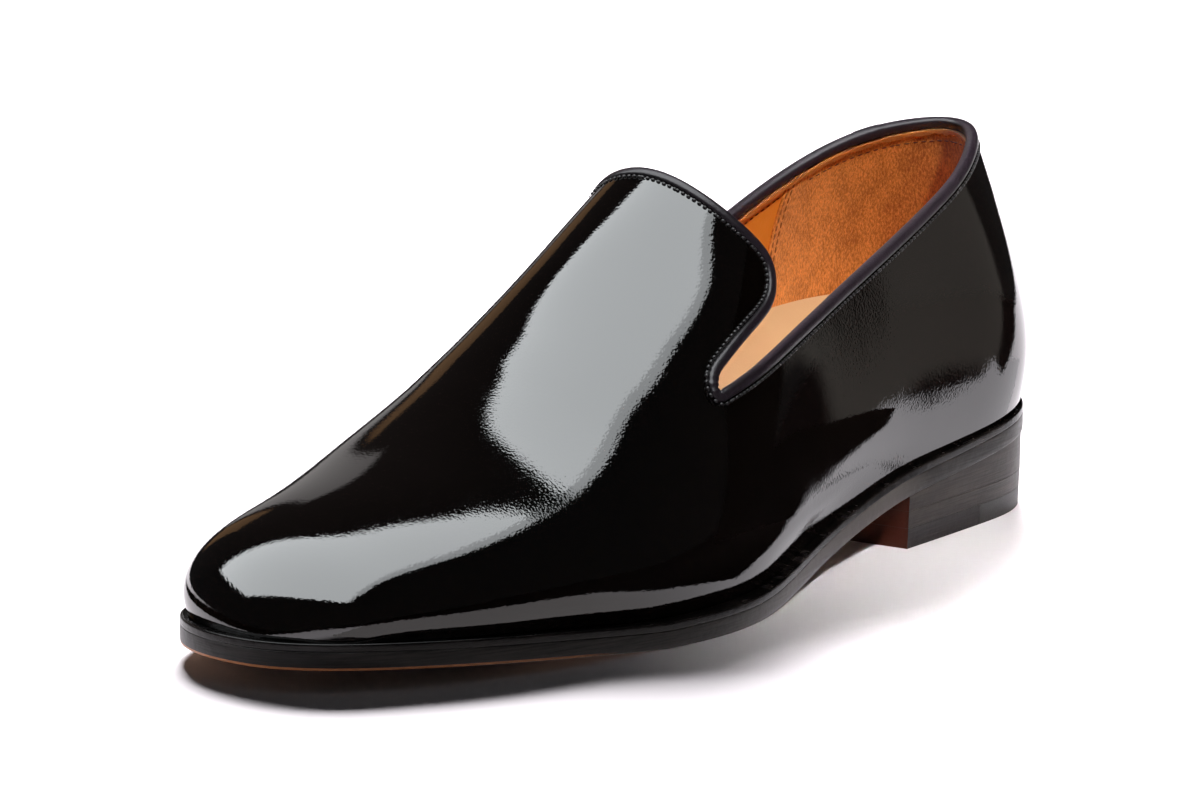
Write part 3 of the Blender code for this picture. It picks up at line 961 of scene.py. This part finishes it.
def opening_ring(mesh):
    """The vertices round the opening of the upper, in order."""
    border = {vert for edge in mesh.edges if edge.is_boundary for vert in edge.verts}
    start = max(border, key=lambda vert: vert.co.z)
    ring = [start]
    before = None
    while True:
        here = ring[-1]
        ahead = [edge.other_vert(here) for edge in here.link_edges if edge.is_boundary]
        following = ahead[0] if ahead[0] is not before else ahead[1]
        if following is start:
            return ring
        before = here
        ring.append(following)


class EdgePath:
    """Even steps along the edge of the opening, with the directions along it, out of the
    leather and into the opening at each."""

    def __init__(self, sheet, step):
        ring = opening_ring(sheet)
        points = np.array([table_point(vert) for vert in ring])
        normals = np.array([vert.normal for vert in ring])
        gaps = np.linalg.norm(np.roll(points, -1, axis=0) - points, axis=1)
        at = np.concatenate([[0.0], np.cumsum(gaps)[:-1]])
        self.length = gaps.sum()
        self.count = int(self.length / step)
        even = np.arange(self.count) * self.length / self.count
        self.points = self.smooth(self.evened(even, at, points))
        normal = self.smooth(self.evened(even, at, normals))
        self.along = unit(np.roll(self.points, -1, axis=0) - np.roll(self.points, 1, axis=0))
        self.out = unit(normal - self.along * (normal * self.along).sum(axis=1, keepdims=True))
        self.into = np.cross(self.along, self.out)
        leather = sum(np.array(edge.other_vert(ring[0]).co - ring[0].co) for edge in ring[0].link_edges)
        if leather @ self.into[0] > 0.0:
            self.into = -self.into

    def evened(self, even, at, values):
        columns = [np.interp(even, at, values[:, k], period=self.length) for k in range(3)]
        return np.stack(columns, axis=1)

    def smooth(self, values):
        for _ in range(SMOOTH_ROUNDS):
            values = (np.roll(values, 1, axis=0) + 2.0 * values + np.roll(values, -1, axis=0)) / 4.0
        return values

    def gathers(self):
        """How much the binding swells at each step: where it turns the notches and at its lap."""
        swell = np.ones(self.count)
        step = self.length / self.count
        for outer in (True, False):
            side = np.where((self.points[:, 1] > 0.0) == outer, self.points[:, 0], -np.inf)
            away = np.arange(self.count) - int(np.argmax(side))
            away = step * ((away + self.count // 2) % self.count - self.count // 2)
            lumps = np.sin(2.0 * math.pi * away / GATHER_PITCH + GATHER_START)
            swell += GATHER_SWELL * lumps * np.exp(-(away / GATHER_REACH) ** 2)
        x, y, _ = self.points.T
        return swell + LAP_SWELL * ((y < 0.0) & (x > LAP_START) & (x < LAP_END))

    def spots(self, across, out):
        """Points a distance into the opening and a distance out of the leather."""
        across = np.broadcast_to(across, self.count)[:, None]
        return self.points + self.into * across + self.out * out


def finish_piece(mesh, name, materials, stands_for=None, crease_angle=80.0):
    """Make a mesh a piece of the shoe: smooth, in its finish and riding on the body."""
    data = bpy.data.meshes.new(name)
    mesh.to_mesh(data)
    mesh.free()
    piece = bpy.data.objects.new(name, data)
    bpy.context.scene.collection.objects.link(piece)
    for material in materials:
        data.materials.append(material)
    data.shade_smooth()
    data.set_sharp_from_angle(angle=math.radians(crease_angle))
    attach(piece, "root")
    if stands_for:
        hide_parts(stands_for)
    return piece


def thicken(piece, thickness, offset):
    wall = piece.modifiers.new("wall", "SOLIDIFY")
    wall.thickness = thickness * MM
    wall.offset = offset


def add_stitch(mesh, centre, along, out, length, thick):
    """One stitch: a plump bead of thread lying along its row."""
    side = np.cross(out, along)
    axes = Matrix.Identity(4)
    for k, arrow in enumerate((side * thick, out * thick, along * length)):
        for row in range(3):
            axes[row][k] = arrow[row] * 0.5 * MM
    for row, value in enumerate(place(centre)):
        axes[row][3] = value
    bmesh.ops.create_uvsphere(mesh, u_segments=STITCH_SEGMENTS, v_segments=STITCH_RINGS,
                              radius=1.0, matrix=axes)


def make_upper(sheet):
    piece = finish_piece(sheet.copy(), "upper_patent", [patent()], "upper")
    thicken(piece, PATENT_THICK, -1.0)


def make_lining(sheet):
    mesh = sheet.copy()
    push_out(mesh, -LINING_DEPTH)
    piece = finish_piece(mesh, "lining_leather", [lining_leather()])
    thicken(piece, LINING_THICK, -1.0)


def make_binding(path):
    """Rolled strip over the edge of the leather, all round the opening."""
    turn = np.linspace(0.0, 2.0 * math.pi, BINDING_AROUND, endpoint=False)
    middle = np.array([BINDING_NEAR + BINDING_FAR, BINDING_TOP + BINDING_LOW]) / 2.0
    reach = np.array([BINDING_FAR - BINDING_NEAR, BINDING_TOP - BINDING_LOW]) / 2.0
    across = middle[0] + reach[0] * np.sign(np.cos(turn)) * np.abs(np.cos(turn)) ** BINDING_SQUARENESS
    out = middle[1] + reach[1] * np.sign(np.sin(turn)) * np.abs(np.sin(turn)) ** BINDING_SQUARENESS
    swell = path.gathers()
    middle_spots = path.spots(middle[0], middle[1])
    rings = np.stack([path.spots(a, o) for a, o in zip(across, out)], axis=1)
    rings = middle_spots[:, None] + (rings - middle_spots[:, None]) * swell[:, None, None]
    mesh = closed_skin(rings, True)
    finish_piece(mesh, "binding_roll", [binding_leather()], "topline_binding")


def stitch_row(path, row, out, pitch, length, thick):
    """Stitches at an even pitch along a row beside the edge of the opening."""
    mesh = bmesh.new()
    count = int(path.length / pitch)
    for k in range(count):
        i = int(k * path.count / count)
        add_stitch(mesh, row[i], path.along[i], out[i], length, thick)
    return mesh


def make_binding_stitches(path):
    """Row of stitches on the patent, just outside the binding."""
    row = path.spots(STITCH_EDGE, STITCH_RISE * STITCH_THICK)
    mesh = stitch_row(path, row, path.out, STITCH_PITCH, STITCH_LENGTH, STITCH_THICK)
    black = thread("black_thread", (0.008, 0.007, 0.008), (0.035, 0.032, 0.034), 0.28)
    finish_piece(mesh, "binding_stitches", [black])


def make_lip(path):
    """Trimmed edge of the lining standing under the binding, inside the shoe."""
    steps = np.arange(path.count)
    wander = sum(np.sin(steps * turn + start) for turn, start in LIP_WAVES)
    foot = LIP_FOOT + LIP_RAGGED * wander
    section = [(LIP_TOP, LIP_BACK), (LIP_TOP, LIP_FACE)]
    rings = [path.spots(a, o) for a, o in section]
    rings.append(path.spots(foot, LIP_FACE))
    rings.append(path.spots(foot - LIP_TURN_DOWN, LIP_FACE + LIP_TURN_BACK))
    rings.append(path.spots(foot - LIP_TURN_DOWN, LIP_BACK))
    mesh = closed_skin(np.stack(rings, axis=1), True)
    finish_piece(mesh, "lining_lip", [cut_edge_leather()], crease_angle=40.0)


def make_lining_stitches(path):
    """Row of stitches below the lip, over the heel grip behind and the lining in front."""
    on_grip = path.points[:, 0] < GRIP_FRONT_TOP
    face = np.where(on_grip, -GRIP_DEPTH - GRIP_THICK, LINING_FACE)[:, None]
    row = path.spots(LINING_ROW, face)
    mesh = stitch_row(path, row, -path.out, LINING_PITCH, LINING_STITCH_LENGTH, LINING_STITCH_THICK)
    brown = thread("brown_thread", (0.050, 0.016, 0.006), (0.110, 0.040, 0.014), 0.7)
    finish_piece(mesh, "lining_stitches", [brown])


def grip_reach(v):
    """Where the heel grip's front edge is round the quarters, at a share of their height."""
    front = between((GRIP_FRONT_FOOT, GRIP_FRONT_TOP), v)
    share = np.linspace(0.0, 1.0, QUARTER_SAMPLES)
    return np.interp(front / NOTCH_X, quarter_station(share), share)


def grip_point(a, b):
    v = between((GRIP_FOOT, GRIP_HEAD), b)
    return quarter_point((2.0 * a - 1.0) * grip_reach(v), v)


def make_heel_grip():
    mesh = bmesh.new()
    add_patch(mesh, GRIP_COLUMNS, GRIP_ROWS, grip_point)
    weld(mesh)
    face_outwards(mesh)
    push_out(mesh, -GRIP_DEPTH)
    piece = finish_piece(mesh, "heel_grip_suede", [suede()])
    thicken(piece, GRIP_THICK, -1.0)


def make_grip_stitches():
    """Two rows of stitches along the front edge of the heel grip, on both sides."""
    mesh = bmesh.new()
    heights = np.linspace(0.0, 1.0, GRIP_SEAM_STEPS)
    half_way = GRIP_SEAM_STEPS // 2
    for side in (0.0, 1.0):
        edge = grip_point(np.full(GRIP_SEAM_STEPS, side), heights)
        behind = grip_point(np.full(GRIP_SEAM_STEPS, abs(side - GRIP_SEAM_BEHIND)), heights)
        back = unit(behind - edge)
        along = unit(np.gradient(edge, axis=0))
        inward = unit(np.cross(along, back))
        if inward[half_way, 1] * edge[half_way, 1] > 0.0:
            inward = -inward
        run = np.concatenate([[0.0], np.cumsum(np.linalg.norm(np.diff(edge, axis=0), axis=1))])
        for distance in GRIP_SEAM_ROWS:
            row = edge + back * distance + inward * (GRIP_DEPTH + GRIP_THICK + GRIP_STITCH_RISE)
            for at in np.arange(GRIP_SEAM_END, run[-1] - GRIP_SEAM_END, GRIP_STITCH_PITCH):
                i = int(np.searchsorted(run, at))
                add_stitch(mesh, row[i], along[i], inward[i], GRIP_STITCH_LENGTH, GRIP_STITCH_THICK)
    tan = thread("tan_thread", (0.20, 0.060, 0.014), (0.36, 0.13, 0.035), 0.7)
    finish_piece(mesh, "grip_stitches", [tan])


def make_back_strip():
    mesh = bmesh.new()

    def spot(a, b):
        v = between((STRIP_FOOT, STRIP_HEAD), b)
        return quarter_point((2.0 * a - 1.0) * strip_half(v) / STRIP_REACH, v)

    add_patch(mesh, STRIP_COLUMNS, STRIP_ROWS, spot)
    weld(mesh)
    mesh.normal_update()
    if sum(face.normal.x for face in mesh.faces) > 0.0:
        bmesh.ops.reverse_faces(mesh, faces=mesh.faces)
    push_out(mesh, STRIP_LIFT)
    piece = finish_piece(mesh, "back_strip_patent", [bpy.data.materials["black_patent"]],
                         "back_strip")
    thicken(piece, STRIP_THICK, 1.0)
    edge = piece.modifiers.new("edge", "BEVEL")
    edge.width = STRIP_EDGE_WIDTH * MM
    edge.segments = STRIP_EDGE_STEPS
    edge.limit_method = "ANGLE"
    edge.angle_limit = math.radians(STRIP_EDGE_ANGLE)


def edge_rings(profile, turns, sides, base):
    """Rings of points along the sole's outline, one for each row of an edge profile."""
    rows = []
    for distance, height in profile:
        flat = inset(sole_side, turns, sides, distance)
        rows.append(raised(flat, base(flat[..., 0]) + height))
    return rows


def make_welt():
    turns = np.linspace(0.0, 2.0 * math.pi, 2 * SOLE_STATIONS, endpoint=False)
    sides = np.where(turns <= math.pi, 1, -1)
    turns = np.where(turns <= math.pi, turns, 2.0 * math.pi - turns)
    mesh = closed_skin(np.stack(edge_rings(WELT_EDGE, turns, sides, welt_foot), axis=1), True)
    black = burnished_edge("burnished_welt", (0.004, 0.003, 0.003), (0.014, 0.011, 0.010), 0.14, 0.36,
                           depth=0.02)
    finish_piece(mesh, "welt_burnished", [black], "welt", crease_angle=60.0)


def side_to_side(profile, turns, base):
    """Sections across the sole: up the outer edge and down the inner one."""
    outer = edge_rings(profile, turns, np.ones(len(turns)), base)
    inner = edge_rings(profile, turns, -np.ones(len(turns)), base)
    return np.stack(outer + inner[::-1], axis=1)


def make_outsole():
    turns = np.linspace(0.0, math.pi, SOLE_STATIONS)
    mesh = closed_skin(side_to_side(OUTSOLE_EDGE, turns, underside), False)
    undyed = mesh.verts.layers.float.new("undyed")
    for vert in mesh.verts:
        x, _, z = table_point(vert)
        low = z - float(underside(x)) < UNDYED_HEIGHT
        vert[undyed] = low * np.clip((x - UNDYED_FROM) / (UNDYED_FULL - UNDYED_FROM), 0.0, 1.0)
    for face in mesh.faces:
        face.material_index = int(face.normal.z < -FACING)
    # The last colour is the painted sheen along the waist
    black = burnished_edge("burnished_sole_edge", (0.006, 0.0045, 0.004), (0.022, 0.018, 0.016), 0.24, 0.48,
                           (0.46, 0.19, 0.085), (0.075, 0.066, 0.062))
    tan = tread_leather("tan_tread", (0.25, 0.155, 0.095), (0.34, 0.225, 0.145))
    finish_piece(mesh, "outsole_leather", [black, tan], "outsole", crease_angle=50.0)


def make_sock():
    """Pale sock over the insole, dished to cup the heel."""
    turns = np.linspace(0.0, math.pi, SOCK_STATIONS)
    ones = np.ones(len(turns))
    outer = inset(last_side(lambda x: insole_foot(x) + insole_outer_rim(x)), turns, ones, SOCK_CLEAR)
    inner = inset(last_side(lambda x: insole_foot(x) + insole_inner_rim(x)), turns, -ones, SOCK_CLEAR)
    width = np.linalg.norm(inner - outer, axis=1)
    rows = [raised(outer, feather(outer[:, 0]))]
    for share in np.linspace(0.0, 1.0, SOCK_ACROSS):
        flat = outer + (inner - outer) * share
        x = flat[:, 0]
        middle = insole_middle(x)
        outer_cup = np.clip(1.0 - width * share / SOCK_DISH, 0.0, 1.0) ** 2
        inner_cup = np.clip(1.0 - width * (1.0 - share) / SOCK_DISH, 0.0, 1.0) ** 2
        rise = middle + np.maximum((insole_outer_rim(x) - middle) * outer_cup,
                                   (insole_inner_rim(x) - middle) * inner_cup)
        rows.append(raised(flat, insole_foot(x) + rise))
    rows.append(raised(inner, feather(inner[:, 0])))
    mesh = closed_skin(np.stack(rows, axis=1), False)
    finish_piece(mesh, "sock_leather", [sock_leather()], "insole", crease_angle=50.0)


def heel_inset(height):
    """How far the heel's side stands in from the sole's edge at a height."""
    return between((HEEL_INSET_FLOOR, HEEL_INSET_TOP), height / underside(BREAST_X))


def heel_seat(x):
    """Top of the heel, just under the sole."""
    return underside(x) - LAYER_GAP


def level_at(height):
    """The same height at every station."""
    return lambda x: np.full(np.shape(x), height)


def heel_layer(name, stations, floor, roof, materials):
    """One layer of the heel between two stations and two levels, its edges a little rounded."""
    turns = np.linspace(*turn_at(stations), HEEL_STATIONS)
    low = heel_inset(floor(BREAST_X))
    high = heel_inset(roof(BREAST_X))
    edge = [(floor, low + LAYER_ROUND, 0.0), (floor, low, LAYER_ROUND),
            (roof, high, -LAYER_ROUND), (roof, high + LAYER_ROUND, 0.0)]
    rows = []
    for side in (1, -1):
        sides = np.full(len(turns), side)
        for level, distance, rise in edge[::side]:
            flat = inset(sole_side, turns, sides, distance)
            rows.append(raised(flat, level(flat[..., 0]) + rise))
    mesh = closed_skin(np.stack(rows, axis=1), False)
    for face in mesh.faces:
        face.material_index = int(face.normal.x > FACING)
    node = name.rsplit("_", 1)[0]
    finish_piece(mesh, name, materials, node, crease_angle=30.0)


def make_heel():
    """Stacked heel: a base fitted to the sole, a lift, and a top piece in two halves."""
    stack = burnished_edge("burnished_heel", (0.017, 0.013, 0.0115), (0.038, 0.030, 0.026), 0.34, 0.52)
    foot = burnished_edge("burnished_top_piece", (0.008, 0.006, 0.006), (0.022, 0.018, 0.017), 0.30, 0.50)
    breast = tread_leather("heel_breast", (0.042, 0.008, 0.003), (0.086, 0.018, 0.007))
    rubber = tip_rubber()
    whole = (0.0, BREAST_X)
    front = (TOP_PIECE_JOINT + TOP_PIECE_SLIT, BREAST_X)
    back = (0.0, TOP_PIECE_JOINT)
    under_base = level_at(LIFT_TOP - LAYER_GAP)
    under_lift = level_at(LIFT_FOOT - LAYER_GAP)
    heel_layer("heel_base_leather", whole, level_at(LIFT_TOP), heel_seat, [stack, breast])
    heel_layer("heel_lift_leather", whole, level_at(LIFT_FOOT), under_base, [stack, breast])
    heel_layer("heel_top_piece_leather", front, level_at(0.0), under_lift, [foot, breast])
    heel_layer("heel_rubber_tip_moulded", back, level_at(0.0), under_lift, [rubber, rubber])


# The room: floor, camera and lights. Directions are taken level with the floor, to the
# camera's right and towards the camera.
TOWARDS = Vector((0.799014, 0.601312)).normalized()
RIGHT = Vector((-TOWARDS.y, TOWARDS.x))
FLOOR_RIGHT = (-0.90, 0.45)
FLOOR_TOWARDS = (-1.25, 0.90)
FLOOR_GRID = (8, 16)

# Dark card on the floor along the outer side, seen only in the shoe's gloss as all the cards are: a painted
# dark reflection.
# It is laid out on a slant, so each row's place along the shoe is counted where its line meets
# the middle.
#   place along the shoe, place of the card's near edge to the outer side, in metres
CARD_SLANT = 1.055
CARD_EDGE = np.array([
    (-0.620, 0.085),
    (-0.158, 0.085),
    (-0.154, 0.128),
    (-0.121, 0.108),
    (-0.119, 0.114),
    (-0.1074, 0.0985),
    (-0.0898, 0.0936),
    (-0.0888, 0.090),
    (-0.0725, 0.0533),
    (-0.024, 0.0527),
    (0.023, 0.057),
    (0.063, 0.0587),
    (0.153, 0.098),
    (0.241, 0.115),
    (1.500, 0.250),
])
CARD_GRID = (392, 4)
CARD_END = 0.80
CARD_LEVEL = 0.0004

# Glowing card under it, close to the shoe, seen only in gloss: a painted reflection of the lit floor,
# brightest behind the heel, dimmest beside the ball
NEAR_CARD_ALONG = (-0.30, 0.17)
NEAR_CARD_ACROSS = (0.034, 0.14)
HEEL_GLOW = (1.50, 1.45, 1.52)
NEAR_GLOW = (1.06, 1.02, 1.07)
HEEL_FADE = (-0.17, -0.08)
BALL_GLOW = (0.82, 0.77, 0.77)
BALL_FADE = (0.0, 0.07)

# Black flag that stands across the floor beside the back of the heel, seen only in gloss: a painted dark
# reflection
FLAG_ALONG = -0.155
FLAG_ACROSS = (0.085, 0.22)
FLAG_HEIGHT = 0.20

# Low black flag beside the heel's breast, seen only in gloss: a painted dark reflection
#   height, place of its near edge to the outer side, in metres
LOW_FLAG_ALONG = -0.075
LOW_FLAG_END = 0.15
LOW_FLAG_EDGE = np.array([
    (0.005, 0.0492),
    (0.010, 0.0468),
    (0.015, 0.0465),
    (0.020, 0.0460),
    (0.025, 0.0426),
    (0.030, 0.0380),
    (0.035, 0.0360),
])

# Dark card before the toe, on the inner side, seen only in gloss: a painted dark reflection
TOE_CARD_RIGHT = (-0.90, -0.175)
TOE_CARD_TOWARDS = (-0.10, 0.90)

# Dim glowing part of the outer card behind the heel, a painted dim grey reflection, between two lines: a
# point of each, the way it looks and over how far it fades
DIM_BEHIND = ((-0.201, 0.070), (-0.688, -0.726), (-0.002, 0.005))
DIM_BESIDE = ((-0.245, 0.103), (0.3253, 0.9456), (-0.003, 0.006))
DIM_GLOW = (0.20, 0.184, 0.164)


def room_point(right, towards, height):
    return Vector((*(RIGHT * right + TOWARDS * towards), height))


def stage_sheet(name, grid, spot, material, gloss_only=False):
    """A sheet of the studio: spot gives its points for shares of its sides."""
    mesh = bmesh.new()
    made = bmesh.ops.create_grid(mesh, x_segments=grid[0], y_segments=grid[1], size=0.5)["verts"]
    for vert in made:
        vert.co = spot(vert.co.x + 0.5, vert.co.y + 0.5)
    data = bpy.data.meshes.new(name)
    mesh.to_mesh(data)
    mesh.free()
    sheet = bpy.data.objects.new(name, data)
    bpy.context.scene.collection.objects.link(sheet)
    data.materials.append(material)
    if gloss_only:
        sheet.visible_camera = False
        sheet.visible_diffuse = False
        sheet.visible_shadow = False


def make_floor():
    def spot(a, b):
        return room_point(between(FLOOR_RIGHT, a), between(FLOOR_TOWARDS, b), 0.0)

    stage_sheet("floor", FLOOR_GRID, spot, pale_floor())


# Black of the cards and flags seen only in gloss: painted dark reflections
def black_reflection_card():
    finish = Finish("black_reflection_card")
    tone = finish.mix(finish.noise(60.0), (0.004, 0.003, 0.0025), (0.008, 0.006, 0.005))
    return finish.done(Base_Color=tone, Roughness=1.0, Specular_IOR_Level=0.0)


def dark_and_dim_reflection_card():
    """Painted reflection: black beside the shoe, a dim grey glow behind its heel."""
    finish = Finish("dark_and_dim_reflection_card")
    along, across, _ = finish.axes()
    dim = 1.0
    for (x, y), (way_x, way_y), fade in (DIM_BEHIND, DIM_BESIDE):
        past = (along - x) * way_x + (across - y) * way_y
        dim = dim * finish.ramp(past, *fade)
    glow = finish.mix(dim, (0.0, 0.0, 0.0), DIM_GLOW)
    return finish.done(Base_Color=(0.004, 0.003, 0.003), Roughness=1.0, Specular_IOR_Level=0.0,
                       Emission_Color=glow, Emission_Strength=1.0)


def painted_floor_reflection():
    """Painted reflection of the lit floor: bright beside the heel and the waist, dimmer beside the ball."""
    finish = Finish("painted_floor_reflection")
    along, _, _ = finish.axes()
    glow = finish.mix(finish.ramp(along, *HEEL_FADE), HEEL_GLOW, NEAR_GLOW)
    glow = finish.mix(finish.ramp(along, *BALL_FADE), glow, BALL_GLOW)
    return finish.done(Base_Color=(0.0, 0.0, 0.0), Roughness=1.0, Specular_IOR_Level=0.0,
                       Emission_Color=glow, Emission_Strength=1.0)


def make_cards():
    def outer_spot(a, b):
        row = a * (len(CARD_EDGE) - 1)
        rows = np.arange(len(CARD_EDGE))
        line = np.interp(row, rows, CARD_EDGE[:, 0])
        y = between((np.interp(row, rows, CARD_EDGE[:, 1]), CARD_END), b)
        return line - CARD_SLANT * y, y, CARD_LEVEL

    def near_spot(a, b):
        return between(NEAR_CARD_ALONG, a), between(NEAR_CARD_ACROSS, b), 0.5 * CARD_LEVEL

    def toe_spot(a, b):
        return room_point(between(TOE_CARD_RIGHT, a), between(TOE_CARD_TOWARDS, b), CARD_LEVEL)

    def flag_spot(a, b):
        return FLAG_ALONG, between(FLAG_ACROSS, a), FLAG_HEIGHT * b

    def low_flag_spot(a, b):
        height = between((LOW_FLAG_EDGE[0, 0], LOW_FLAG_EDGE[-1, 0]), a)
        near = np.interp(height, LOW_FLAG_EDGE[:, 0], LOW_FLAG_EDGE[:, 1])
        return LOW_FLAG_ALONG, between((near, LOW_FLAG_END), b), height

    black = black_reflection_card()
    cards = {
        "outer_card": (outer_spot, dark_and_dim_reflection_card()),
        "near_card": (near_spot, painted_floor_reflection()),
        "toe_card": (toe_spot, black),
        "waist_flag": (flag_spot, black),
        "low_flag": (low_flag_spot, black),
    }
    for name, (spot, material) in cards.items():
        stage_sheet(name, CARD_GRID, spot, material, gloss_only=True)


def aim(obj, target):
    obj.rotation_euler = (target - obj.location).to_track_quat("-Z", "Y").to_euler()


def make_camera():
    data = bpy.data.cameras.new("camera")
    data.lens = CAMERA_LENS
    data.sensor_width = CAMERA_SENSOR
    data.sensor_fit = "HORIZONTAL"
    camera = bpy.data.objects.new("camera", data)
    camera.location = CAMERA_AT
    aim(camera, CAMERA_AIM)
    bpy.context.scene.collection.objects.link(camera)
    bpy.context.scene.camera = camera


def panel_light(name, centre, across, up, radiance, tint, gloss=True, body=True):
    """A flat soft panel: its centre and the two half edges that span it. It shows in gloss,
    lights the body colours, or both."""
    data = bpy.data.lights.new(name, "AREA")
    data.shape = "RECTANGLE"
    data.size = 2.0 * across.length
    data.size_y = 2.0 * up.length
    data.energy = radiance * math.pi * data.size * data.size_y
    data.color = tint
    light = bpy.data.objects.new(name, data)
    side = across.normalized()
    if side.cross(up).dot(centre) < 0.0:
        side = -side
    turned = Matrix((side, up.normalized(), side.cross(up.normalized()))).transposed().to_4x4()
    turned.translation = centre
    light.matrix_world = turned
    light.visible_camera = False
    light.visible_glossy = gloss
    light.visible_diffuse = body
    bpy.context.scene.collection.objects.link(light)
    return data


# Long softbox overhead, seen in gloss. Its centre, halves and the start of its dimmer end are
# counted in heights
SOFTBOX_HEIGHT = 2.5
SOFTBOX_CENTRE = (-0.78, 0.03)
SOFTBOX_HALF = (1.35, 0.60)
SOFTBOX_TURN = math.radians(20.0)
SOFTBOX_RADIANCE = 5.5
SOFTBOX_END = 1.24
SOFTBOX_END_SHARE = 0.62
SOFTBOX_TINT = (0.94, 0.98, 1.0)


def make_softbox():
    across = Vector((math.cos(SOFTBOX_TURN), math.sin(SOFTBOX_TURN)))
    depth = Vector((-math.sin(SOFTBOX_TURN), math.cos(SOFTBOX_TURN)))
    middle = room_point(*(SOFTBOX_HEIGHT * c for c in SOFTBOX_CENTRE), SOFTBOX_HEIGHT)
    reach = room_point(*(depth * SOFTBOX_HALF[1] * SOFTBOX_HEIGHT), 0.0)
    parts = {"softbox": (-SOFTBOX_HALF[0], SOFTBOX_END, 1.0),
             "softbox_end": (SOFTBOX_END, SOFTBOX_HALF[0], SOFTBOX_END_SHARE)}
    for name, (start, end, share) in parts.items():
        centre = middle + room_point(*(across * 0.5 * (start + end) * SOFTBOX_HEIGHT), 0.0)
        span = room_point(*(across * 0.5 * (end - start) * SOFTBOX_HEIGHT), 0.0)
        panel_light(name, centre, span, reach, share * SOFTBOX_RADIANCE, SOFTBOX_TINT, body=False)


# Side panels: compass angle of the middle, half angle, lowest and highest elevation, radiance, tint
PANELS = {
    "back_panel": (317.0, 5.0, 5.0, 36.0, 0.42, (1.0, 0.95, 0.94)),
    "heel_panel": (243.5, 8.5, -5.5, 24.0, 0.20, (1.0, 0.92, 0.82)),
    "warm_panel": (329.5, 5.5, 9.0, 26.0, 0.28, (1.0, 0.55, 0.25)),
}
PANEL_DISTANCE = 3.0


def compass(turn):
    """Level direction at a compass angle."""
    return Vector((math.sin(turn), -math.cos(turn), 0.0))


def make_panels():
    for name, (angle, half, low, high, radiance, tint) in PANELS.items():
        turn = math.radians(angle)
        away = compass(turn)
        side = Vector((math.cos(turn), math.sin(turn), 0.0))
        foot = PANEL_DISTANCE * math.tan(math.radians(low))
        head = PANEL_DISTANCE * math.tan(math.radians(high))
        centre = away * PANEL_DISTANCE + Vector((0.0, 0.0, 0.5 * (foot + head)))
        across = side * PANEL_DISTANCE * math.tan(math.radians(half))
        panel_light(name, centre, across, Vector((0.0, 0.0, 0.5 * (head - foot))), radiance, tint)


# Key light on body colours, from behind the heel
KEY_COMPASS = math.radians(309.0)
KEY_RISE = math.radians(41.0)
KEY_DISTANCE = 2.6
KEY_HALF = (0.42, 0.30)
KEY_RADIANCE = 135.0
KEY_TINT = (1.0, 0.99, 0.98)

# Narrow lights on body colours: the spot each is aimed at, its place from there, half its side
# and its radiance
NARROW_LIGHTS = {
    "collar_light": ((-0.106, -0.012, 0.07), (0.20, 0.70, 0.98), 0.05, 1.75),
    "heel_fill": ((-0.060, 0.135, 0.0), (0.20, 0.75, 0.95), 0.09, 1.5),
}
NARROW_SPREAD = math.radians(8.0)
NARROW_TINT = (1.0, 0.97, 0.92)


def make_key():
    level = compass(KEY_COMPASS)
    centre = (level * math.cos(KEY_RISE) + Vector((0.0, 0.0, math.sin(KEY_RISE)))) * KEY_DISTANCE
    side = Vector((-level.y, level.x, 0.0))
    up = centre.normalized().cross(side)
    panel_light("key", centre, side * KEY_HALF[0], up * KEY_HALF[1], KEY_RADIANCE, KEY_TINT, gloss=False)


def make_narrow_lights():
    for name, (spot, away, half, radiance) in NARROW_LIGHTS.items():
        lean = Vector(away)
        side = lean.orthogonal().normalized()
        up = lean.normalized().cross(side)
        lamp = panel_light(name, Vector(spot) + lean, side * half, up * half, radiance, NARROW_TINT,
                           gloss=False)
        lamp.spread = NARROW_SPREAD


WORLD_DARK = 0.02
WORLD_PALE = 1.0


def make_world():
    """Dark round the shoe, pale where the camera looks past the floor."""
    world = bpy.data.worlds.new("studio")
    bpy.context.scene.world = world
    world.use_nodes = True
    nodes = world.node_tree.nodes
    shade = nodes["Background"]
    shade.inputs["Color"].default_value = (WORLD_DARK, WORLD_DARK, WORLD_DARK, 1.0)
    pale = nodes.new("ShaderNodeBackground")
    pale.inputs["Color"].default_value = (WORLD_PALE, WORLD_PALE, WORLD_PALE, 1.0)
    seen = nodes.new("ShaderNodeLightPath")
    either = nodes.new("ShaderNodeMixShader")
    links = world.node_tree.links
    links.new(seen.outputs["Is Camera Ray"], either.inputs["Fac"])
    links.new(shade.outputs["Background"], either.inputs[1])
    links.new(pale.outputs["Background"], either.inputs[2])
    links.new(either.outputs["Shader"], nodes["World Output"].inputs["Surface"])
    bpy.context.scene.view_settings.view_transform = "Standard"


make_camera()
make_floor()
make_cards()
make_softbox()
make_panels()
make_key()
make_narrow_lights()
make_world()

sheet = upper_sheet()
edge_path = EdgePath(sheet, PATH_STEP)
make_upper(sheet)
make_lining(sheet)
sheet.free()
make_binding(edge_path)
make_binding_stitches(edge_path)
make_lip(edge_path)
make_lining_stitches(edge_path)
make_heel_grip()
make_grip_stitches()
make_back_strip()
make_welt()
make_outsole()
make_sock()
make_heel()
